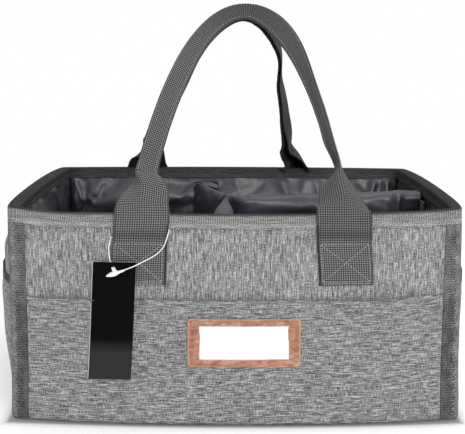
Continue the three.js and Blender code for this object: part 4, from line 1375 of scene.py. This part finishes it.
def make_tag_loop():
    """A white loop that runs behind the strap, ends in an arrow and goes through the tag."""
    diameter = 0.001
    hole = tag_point(0, -TAG_HOLE_DROP, TAG_BACK - TAG_THICKNESS / 2)
    strap = HANDLE_MIDDLE["front"] - HANDLE_HALF
    left = strap - STRAP_WIDTH / 2 - GAP - diameter
    right = strap + STRAP_WIDTH / 2 + GAP + diameter
    seat = handle_seat("front")
    behind_y = -(seat["y"] - (STRAP_THICKNESS + STRAP_CLEAR + diameter) / 2)

    def behind(share):
        return np.array([left + (right - left) * share, behind_y, seat["fold"] + 0.004 + 0.009 * share])

    over_sewn = FABRIC_OUT - GAP - STRAP_THICKNESS - GAP - diameter / 2
    over_tag = TAG_BACK - TAG_THICKNESS - GAP - diameter / 2
    under_tag = TAG_BACK + GAP + diameter / 2
    down = [
        (right + 0.0005, 0.1716, 0.0002),
        (right + 0.0009, 0.1700, -0.0012),
        (right + 0.0002, 0.1666, -0.0027),
        (right - 0.0012, 0.1618, -0.0028),
        (-0.0604, 0.1553, -0.0022),
        (-0.0655, 0.1492, over_sewn),
        (-0.0717, 0.1450, over_sewn),
        (-0.0784, 0.1414, over_sewn - 0.0008),
        (-0.0850, 0.1384, over_tag),
        (-0.0917, 0.1356, over_tag),
        (-0.0975, 0.1335, over_tag),
        (-0.0997, 0.1345, over_tag - 0.0002),
    ]
    back_up = [
        (-0.1049, 0.1421, under_tag),
        (-0.1059, 0.1472, over_sewn),
        (-0.1062, 0.1523, over_sewn),
        (-0.1058, 0.1568, over_sewn / 2),
        (-0.1047, 0.1608, 0.0003),
    ]
    route = [
        behind(0.06),
        behind(0.5),
        behind(0.9),
        *[wall("front", *point) for point in down],
        hole + np.array([0.0002, -0.0006, -0.0003]),
        wall("front", hole[0] - diameter, hole[2] + 0.0023, under_tag),
        *[wall("front", *point) for point in back_up],
    ]
    line = closed_spline(route, 260)[:-1]
    strand = tube(line, np.full(len(line), diameter / 2))
    # The frame of the tube doesn't close on itself, so its two ends meet inside a short overlap.
    loop = rings("tag_loop_strand", strand, None, WHITE_PLASTIC, joined=False)
    dress(loop, "swing_tag", "tag_plastic", "tag_loop")
    head = wall("front", -0.0925, 0.1352, over_tag - 0.0008)
    tip = wall("front", -0.1080, 0.1296, over_tag - 0.0008)
    shares = (0, 0.1, 0.25, 0.4, 0.55, 0.75, 0.9, 1.0)
    radii = (0.0007, 0.0012, 0.0009, 0.0019, 0.0025, 0.0020, 0.0013, 0.0005)
    plastic_piece("tag_loop_arrow", head, tip, shares, radii, 14)
    root = head + (tip - head) * 0.50
    spur = root + np.array([-0.0030, 0.0008, 0.0047])
    radii = (0.0018, 0.0014, 0.0011, 0.0011, 0.0007)
    plastic_piece("tag_loop_barb", root, spur, np.linspace(0, 1, 5), radii, 10)


# Cloth that is grown a little and let settle, so that it buckles as sewn cloth does
CLOTH_GROWTH = 0.026
CLOTH_BENDING = 0.1
CLOTH_MASS = 0.15


def settle(obj, pins, frames, stiffness, pressure=0.0):
    """Where the points of a sheet come to lie once it has grown between its pins."""
    group = obj.vertex_groups.new(name="pins")
    for index, weight in enumerate(pins):
        if weight > 0:
            group.add([index], float(weight), "REPLACE")
    cloth = obj.modifiers.new("settle", "CLOTH")
    settings = cloth.settings
    settings.vertex_group_mass = "pins"
    settings.quality = 6
    settings.mass = CLOTH_MASS
    settings.tension_stiffness = stiffness
    settings.compression_stiffness = stiffness
    settings.shear_stiffness = stiffness / 2
    settings.bending_stiffness = CLOTH_BENDING
    settings.shrink_min = -CLOTH_GROWTH
    settings.effector_weights.gravity = 0.0
    settings.use_pressure = pressure > 0
    settings.uniform_pressure_force = pressure
    cloth.collision_settings.use_self_collision = False
    cloth.collision_settings.use_collision = False
    cloth.point_cache.frame_start = 1
    cloth.point_cache.frame_end = frames
    scene = bpy.context.scene
    for number in range(1, frames + 1):
        scene.frame_set(number)
    evaluated = obj.evaluated_get(bpy.context.evaluated_depsgraph_get())
    points = np.zeros(len(obj.data.vertices) * 3, np.float32)
    evaluated.data.vertices.foreach_get("co", points)
    obj.modifiers.remove(cloth)
    obj.vertex_groups.remove(group)
    scene.frame_set(1)
    return points.reshape(-1, 3).astype(float)


def held_back(shift, normal, most_out, most_aside):
    """Shifts as how far they go along a normal and what is left of them, both kept small."""
    out = shift @ normal
    aside = shift - np.outer(out, normal)
    aside *= np.minimum(1, most_aside / np.maximum(np.linalg.norm(aside, axis=1), 1e-9))[:, None]
    return most_out * np.tanh(out / most_out), aside


def crease(u, z, start, end, width, height):
    """A fold of the lining along a line, sharp on its crest and dying out at its ends."""
    run = np.array(end) - np.array(start)
    length = np.linalg.norm(run)
    right, up = run / length
    along = (u - start[0]) * right + (z - start[1]) * up
    away = (u - start[0]) * up - (z - start[1]) * right
    share = along / length
    span = smooth((share + 0.35) / 0.5) * smooth((1.35 - share) / 0.5)
    return height * span * np.exp(-np.abs(away / width) ** 1.4)


# Folds of the lining: start and end on the wall, width and height
BACK_FOLDS = [
    ((-0.178, 0.172), (-0.168, 0.150), 0.0045, 0.0030),
    ((-0.147, 0.171), (-0.154, 0.157), 0.0050, 0.0016),
    ((-0.120, 0.168), (-0.100, 0.150), 0.0060, 0.0015),
    ((0.002, 0.172), (0.008, 0.158), 0.0055, 0.0016),
    ((0.053, 0.172), (0.062, 0.152), 0.0055, 0.0026),
    ((0.083, 0.173), (0.077, 0.158), 0.0050, 0.0018),
    ((0.092, 0.172), (0.097, 0.150), 0.0045, 0.0020),
    ((0.140, 0.172), (0.150, 0.160), 0.0050, 0.0020),
    ((0.158, 0.172), (0.151, 0.152), 0.0035, 0.0055),
    ((0.170, 0.174), (0.172, 0.150), 0.0040, 0.0050),
]
LEFT_FOLDS = [
    ((-0.098, 0.174), (-0.082, 0.150), 0.0040, 0.0055),
    ((-0.050, 0.176), (-0.046, 0.130), 0.0080, 0.0025),
    ((-0.022, 0.176), (-0.020, 0.120), 0.0060, 0.0035),
    ((0.040, 0.172), (0.060, 0.130), 0.0060, 0.0020),
    ((0.095, 0.172), (0.085, 0.140), 0.0060, 0.0030),
]


LINING_SWELL = 0.0085
BACK_RIGHT_SWELL = 0.0100


def drape(side, u, z):
    """How far the loose lining stands off its wall."""
    under_rim = BODY_HEIGHT - 0.010 - z
    swell = LINING_SWELL * smooth(under_rim / 0.030) * (0.05 + 0.95 * smooth((z - 0.106) / 0.054))
    folds = 0 * u
    if side == "back":
        swell = mixed(swell, BACK_RIGHT_SWELL * smooth(under_rim / 0.040), smooth((u + 0.05) / 0.03))
        folds = sum(crease(u, z, *fold) for fold in BACK_FOLDS)
    elif side == "right":
        swell = swell * 0.35
    elif side == "left":
        swell = swell * (0.15 + 0.95 * smooth((0.002 - u) / 0.014))
        folds = sum(crease(u, z, *fold) for fold in LEFT_FOLDS)
    return swell + folds * smooth((BODY_HEIGHT - 0.009 - z) / 0.006)


SATIN_THICKNESS = 0.0007
LINING_PUSH = 0.0045
LINING_SLIP = 0.001
LINING_FRAMES = 20
LINING_STIFFNESS = 12.0
LEAST_GAP = 0.0002


def wrinkled_wall(side, seed):
    """One lining wall: draped, buckled cloth that never reaches through its board."""
    long_side = side in LONG_SIDES
    inner = (HALF_WIDTH if long_side else HALF_DEPTH) - LINING_IN - GAP
    us = spread(inner, 150 if long_side else 96)
    vs = np.linspace(WALL_FOOT + 0.004, BODY_HEIGHT - 0.004, 60)
    u, v = np.meshgrid(us, vs)
    ends = smooth((inner - np.abs(u)) / 0.006)
    start = 0.0002 * value_noise(u * 60, v * 35, seed) + LEAST_GAP
    start = start + drape(side, u, v) * ends
    flat = wall(side, u, v, LINING_IN + start)
    sheet = build(f"{side}_lining_sheet", flat, grid_faces(*u.shape), None, SATIN)
    top = smooth((v - (BODY_HEIGHT - 0.012)) / 0.004)
    foot = smooth((0.012 - v) / 0.006)
    pins = np.clip(top + foot + 1 - ends, 0, 1).ravel()
    base = flat.reshape(-1, 3)
    normal = -FACING[side]
    moved = settle(sheet, pins, LINING_FRAMES, LINING_STIFFNESS)
    push, aside = held_back(moved - base, normal, LINING_PUSH, LINING_SLIP)
    if side == "back":
        push = push * (1 - 0.50 * smooth((u.ravel() + 0.05) / 0.03))
    settled = base + aside + np.outer(push, normal)
    board = wall(side, u, v, LINING_IN).reshape(-1, 3)
    short = np.maximum(LEAST_GAP - (settled - board) @ normal, 0)
    settled = settled + np.outer(short, normal)
    bpy.data.objects.remove(sheet)
    back = wall(side, u, v, LINING_IN - SATIN_THICKNESS).reshape(-1, 3)
    points = np.concatenate([settled, back])
    lining = build(f"{side}_lining_satin", points, sheet_faces(*u.shape), None, SATIN)
    dress(lining, "caddy", "lining", f"{side}_lining")


def make_lining():
    for seed, side in enumerate(FACING):
        wrinkled_wall(side, 140 + seed)
    reach = LINING_IN + GAP
    us = spread(HALF_WIDTH - reach, 90)
    vs = spread(HALF_DEPTH - reach, 60)

    def floor(x, y, side):
        ripple = 0.0002 * np.abs(value_noise(x * 30, y * 30, 160))
        return bow(x, y, FLOOR_TOP + np.where(side == 0, ripple, -SATIN_THICKNESS))

    sheet = slab("base_lining_satin", us, vs, floor, SATIN)
    dress(sheet, "caddy", "lining", "base_lining")


# Divider
WING_EDGE = 0.0006
WING_START = 0.0017
WING_STEP = 0.0036
WING_PRESSURE = 3.0
WING_PUSH = 0.0042
WING_SLIP = 0.0015
WING_FRAMES = 22
WING_STIFFNESS = 10.0


def make_wing(name, body, toward, half_at, rise, slope):
    """A padded wing: a closed pillow from the seam to its wall, swollen and wrinkled."""
    seam = np.array(SEAM)
    reach = np.linalg.norm(np.array(toward) - seam)
    along = (np.array(toward) - seam) / reach
    side = np.array([-along[1], along[0]])
    normal = np.array([*side, 0.0])
    bottom = FLOOR_TOP + GAP
    ts = np.linspace(WING_START, reach, max(int(reach / WING_STEP), 12))
    steps = np.linspace(0, 1, 44)
    profile = [(-1, h) for h in steps]
    profile += [(share, 1.0035) for share in (-0.5, 0.0, 0.5)]
    profile += [(1, h) for h in steps[::-1]]
    loops = []
    for t in ts:
        ring = []
        top = WING_TOP + rise + slope * t / reach
        for share, h in profile:
            z = bottom + (top - bottom) * h
            near_top = smooth((z - (top - 0.004)) / 0.004)
            half = half_at(t, top - z) * (1 - 0.35 * near_top * abs(share))
            x, y = seam + along * t + side * share * half
            ring.append((x, y, z))
        loops.append(ring)
    loops = np.array(loops)
    wing = rings(f"{name}_wing_pad", loops, None, SATIN)
    base = loops.reshape(-1, 3)
    across = np.tile([share for share, _ in profile], len(ts))
    level = np.tile(np.arange(len(profile)), len(ts))
    station = np.repeat(np.arange(len(ts)), len(profile))
    held = (base[:, 2] < bottom + 0.002) | (station == 0) | (station == len(ts) - 1)
    top = (level >= len(steps) - 1) & (level <= len(steps) + 3)
    pins = np.maximum(1.0 * held, 0.25 * top)
    moved = settle(wing, pins, WING_FRAMES, WING_STIFFNESS, WING_PRESSURE)
    out, aside = held_back(moved - base, normal, WING_PUSH, WING_SLIP)
    out = np.where(across > 0.9, np.maximum(out, 0), np.where(across < -0.9, np.minimum(out, 0), out))
    points = base + aside + np.outer(out, normal)
    wing.data.vertices.foreach_set("co", points.astype(np.float32).ravel())
    wing.data.update()
    wing.modifiers.new("round", "SUBSURF").levels = 1
    dress(wing, body, "lining", f"{name}_wing_cover")


FLAP_DEPTH = 0.0087
FLAP_THICKNESS = 0.0010
FLAP_GATHER = 0.0009
FLAP_LIFT = 0.0042
LOOP_TAPE_DEPTH = 0.0064
LOOP_TAPE_THICKNESS = 0.0011
FLAP_LEVELS = np.r_[np.linspace(0.020, 0.120, 20), np.linspace(0.121, 0.165, 44)]


def make_flap(wing, body, side, low, high):
    """A wing's hook flap. The rear one stands off its wall and is gathered at its top."""
    name = f"{wing}_wing_flap"
    loose, gathered = (1.0, 1.0) if side == "back" else (0.15, 0.0)

    def place(a, z, inner):
        lines = np.sin(z * 1150 + 2.2 * value_noise(a * 70, z * 30, len(name))) * smooth((z - 0.145) / 0.012)
        gather = FLAP_GATHER * gathered * lines * smooth((a - low) / 0.004) * smooth((high - a) / 0.004)
        lift = FLAP_LIFT * loose * smooth((z - 0.128) / 0.02)
        depth = FLAP_DEPTH + np.where(inner, 0.0, FLAP_THICKNESS) + gather + lift
        return wall(side, a, z + 0.006 * smooth((z - 0.150) / 0.015), depth)

    material = SATIN if side == "back" else HOOKS
    us = np.linspace(low, high, 34)
    node = f"{wing}_wing_hook_flap"
    rounded_slab(name, us, FLAP_LEVELS, place, material, "hook_and_loop", node, body=body)


def make_loop_tape(side, low, high):
    def place(a, z, inner):
        return wall(side, a, z, LOOP_TAPE_DEPTH + LOOP_TAPE_THICKNESS * inner)

    us = np.linspace(low, high, 14)
    vs = np.linspace(0.020, 0.165, 40)
    name = f"{side}_loop_tape"
    rounded_slab(f"{name}_pile", us, vs, place, HOOKS, "hook_and_loop", name)


LONG_RIDGE = 0.0080
LONG_ROLL = 0.0055
LONG_SHELF = 0.0075
FRONT_FLARE = 0.0050


def rear_half(t, down):
    """Half of the rear wing's thickness at t along it; down, how far below its top, is not used."""
    return WING_EDGE + (WING_THICKNESS / 2 - WING_EDGE) * smooth(t / 0.015)


def long_half(t, down):
    ridge = LONG_RIDGE * bump(t, 0.1695 - 0.1 * down, 0.0040) * smooth((0.05 - down) / 0.03)
    past = smooth((t - 0.171) / 0.006)
    roll = LONG_ROLL * smooth(t / 0.02) * bump(down, 0.004, 0.017) * (1 - past)
    shelf = LONG_SHELF * past * smooth((0.036 - down) / 0.036)
    return rear_half(t, down) + ridge + roll + shelf


def front_half(t, down):
    flared = FRONT_FLARE * smooth(t / 0.10) * smooth((0.030 - down) / 0.024)
    return WING_EDGE + (WING_THICKNESS / 2 - WING_EDGE) * smooth(t / 0.06) + flared


def make_divider():
    long_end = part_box("long_wing_cover")[1][0] - 0.0004
    rear_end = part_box("rear_wing_cover")[1][1] - 0.0006
    front_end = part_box("front_wing_cover")[0][1] + 0.0006
    make_wing("long", "divider", (long_end, 0.014), long_half, 0.0012, 0.0040)
    make_wing("rear", "rear_wing", (-0.041, rear_end), rear_half, 0.0015, -0.0045)
    make_wing("front", "front_wing", (-0.0126, front_end), front_half, 0.0030, -0.0030)
    wings = [("long", "divider", "right"), ("rear", "rear_wing", "back"), ("front", "front_wing", "front")]
    for wing, body, side in wings:
        low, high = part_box(f"{wing}_wing_hook_flap")
        axis = 1 if side == "right" else 0
        make_flap(wing, body, side, low[axis], high[axis])
        make_loop_tape(side, low[axis], high[axis])
    low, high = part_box("divider_seam")
    x, y = (low[0] + high[0]) / 2, (low[1] + high[1]) / 2
    line = np.linspace((x, y, low[2]), (x, y, high[2]), 60)
    radii = 0.0012 + 0.0002 * value_noise(line[:, 2] * 300, line[:, 2] * 0, 3)
    seam = rings("divider_seam_piping", tube(line, radii, 12), None, SATIN)
    dress(seam, "divider", "lining", "divider_seam")


make_base()
make_panels()
make_long_pockets()
make_end_pockets()
make_corner_tapes()
make_rim()
make_label()
make_handle("front")
make_handle("back")
make_tag()
make_lining()
make_divider()

# The boards and cores of the model stay, in one dark material.
for name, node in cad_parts.items():
    if name.endswith(("_board", "_core")):
        node.data.materials.clear()
        node.data.materials.append(DARK_BOARD)


# Floor, light and camera
FLOOR_GLOW = 0.24
FLOOR_HALF = 3.0
FLOOR_DROP = 0.0002
WORLD_LOW = 0.36
WORLD_HIGH = 0.85
CAMERA_PLACE = Vector((-0.00783, -0.82123, 0.31592))
CAMERA_PITCH = 0.12912
CAMERA_YAW = -0.00685
CAMERA_ROLL = -0.00541
FOCAL_PIXELS = 843.9
PHOTO_WIDTH = 465
SENSOR = 36.0
RISE_PIXELS = -56.0


def make_floor():
    """A pale floor with a painted contact shadow by the caddy's foot, in its colour and its glow, that fades
    into the white room.
    """
    s = Shade("studio_floor")
    tone = s.ramp(s.noise(s.place(3.0), 1.0), [(0.0, 0.955), (1.0, 0.965)])
    x, y, _ = s.split(s.place())
    across = x * (1 / HALF_WIDTH)
    bowed = across * across * -LONG_BOW + (LONG_BOW + 0.0075)
    off_front = y * -1.0 - (bowed + HALF_DEPTH)
    off_end = abs(x) - (HALF_WIDTH + 0.004)
    off_back = y - (HALF_DEPTH + LONG_BOW)
    off = s.math("MAXIMUM", s.math("MAXIMUM", off_front, off_end), off_back)
    # Painted contact shadow: darker within about 10 mm of the caddy's foot.
    near = s.ramp(off * 100.0, [(0.0, 0.30), (0.15, 0.52), (0.40, 0.80), (0.95, 1.0)])
    fade = s.between(s.vector("LENGTH", s.place()), 0.5, 1.5, 1.0, 0.0)
    feeds = {
        "Base Color": s.darken(tone, near),
        "Roughness": 0.9,
        "Emission Color": near,
        "Emission Strength": FLOOR_GLOW,
        "Alpha": fade,
    }
    for name, value in feeds.items():
        s.feed(s.shader.inputs[name], value)
    corners = [(x * FLOOR_HALF, y * FLOOR_HALF, 0) for x, y in ((-1, -1), (1, -1), (1, 1), (-1, 1))]
    mesh = bpy.data.meshes.new("floor")
    mesh.from_pydata(corners, [], [(0, 1, 2, 3)])
    mesh.materials.append(s.material)
    floor = bpy.data.objects.new("floor", mesh)
    floor.location.z = -FLOOR_DROP
    bpy.context.scene.collection.objects.link(floor)


def make_area(name, place, target, size, power):
    light = bpy.data.lights.new(name, "AREA")
    light.shape = "RECTANGLE"
    light.size, light.size_y = size
    light.energy = power
    obj = bpy.data.objects.new(name, light)
    obj.location = place
    obj.rotation_euler = (Vector(target) - Vector(place)).to_track_quat("-Z", "Y").to_euler()
    bpy.context.scene.collection.objects.link(obj)


def make_world():
    """A white room to look at, whose light comes mostly from above."""
    world = bpy.data.worlds.new("studio")
    bpy.context.scene.world = world
    world.use_nodes = True
    tree = world.node_tree
    sky = tree.nodes["Background"]
    sky.inputs["Color"].default_value = (1, 1, 1, 1)
    seen = tree.nodes.new("ShaderNodeLightPath")
    where = tree.nodes.new("ShaderNodeTexCoord")
    split = tree.nodes.new("ShaderNodeSeparateXYZ")
    tree.links.new(where.outputs["Generated"], split.inputs[0])
    climb = tree.nodes.new("ShaderNodeMapRange")
    climb.inputs["To Min"].default_value = WORLD_LOW
    climb.inputs["To Max"].default_value = WORLD_HIGH
    tree.links.new(split.outputs["Z"], climb.inputs["Value"])
    pick = tree.nodes.new("ShaderNodeMix")
    tree.links.new(seen.outputs["Is Camera Ray"], pick.inputs[0])
    tree.links.new(climb.outputs["Result"], pick.inputs[2])
    pick.inputs[3].default_value = 1.0
    tree.links.new(pick.outputs[0], sky.inputs["Strength"])


def make_camera():
    data = bpy.data.cameras.new("camera")
    data.sensor_width = SENSOR
    data.lens = FOCAL_PIXELS / PHOTO_WIDTH * SENSOR
    data.shift_y = RISE_PIXELS / PHOTO_WIDTH
    camera = bpy.data.objects.new("camera", data)
    bpy.context.scene.collection.objects.link(camera)
    bpy.context.scene.camera = camera
    forward = Vector((0, math.cos(CAMERA_PITCH), -math.sin(CAMERA_PITCH)))
    up = Vector((0, math.sin(CAMERA_PITCH), math.cos(CAMERA_PITCH)))
    right = Vector((1, 0, 0))
    turn = Matrix.Rotation(CAMERA_YAW, 3, "Z")
    forward, up, right = turn @ forward, turn @ up, turn @ right
    c, s = math.cos(CAMERA_ROLL), math.sin(CAMERA_ROLL)
    tilted_right = right * c - up * s
    tilted_up = right * s + up * c
    axes = Matrix((tilted_right, tilted_up, -forward)).transposed()
    camera.matrix_world = Matrix.Translation(CAMERA_PLACE) @ axes.to_4x4()


make_floor()
make_world()
make_area("key", (0.45, -1.85, 0.95), (0, 0, 0.14), (0.8, 0.6), 19.0)
make_area("top", (0.25, 0.25, 1.7), (0, 0, 0.1), (0.8, 0.5), 3.5)
make_camera()
bpy.context.scene.view_settings.view_transform = "Standard"
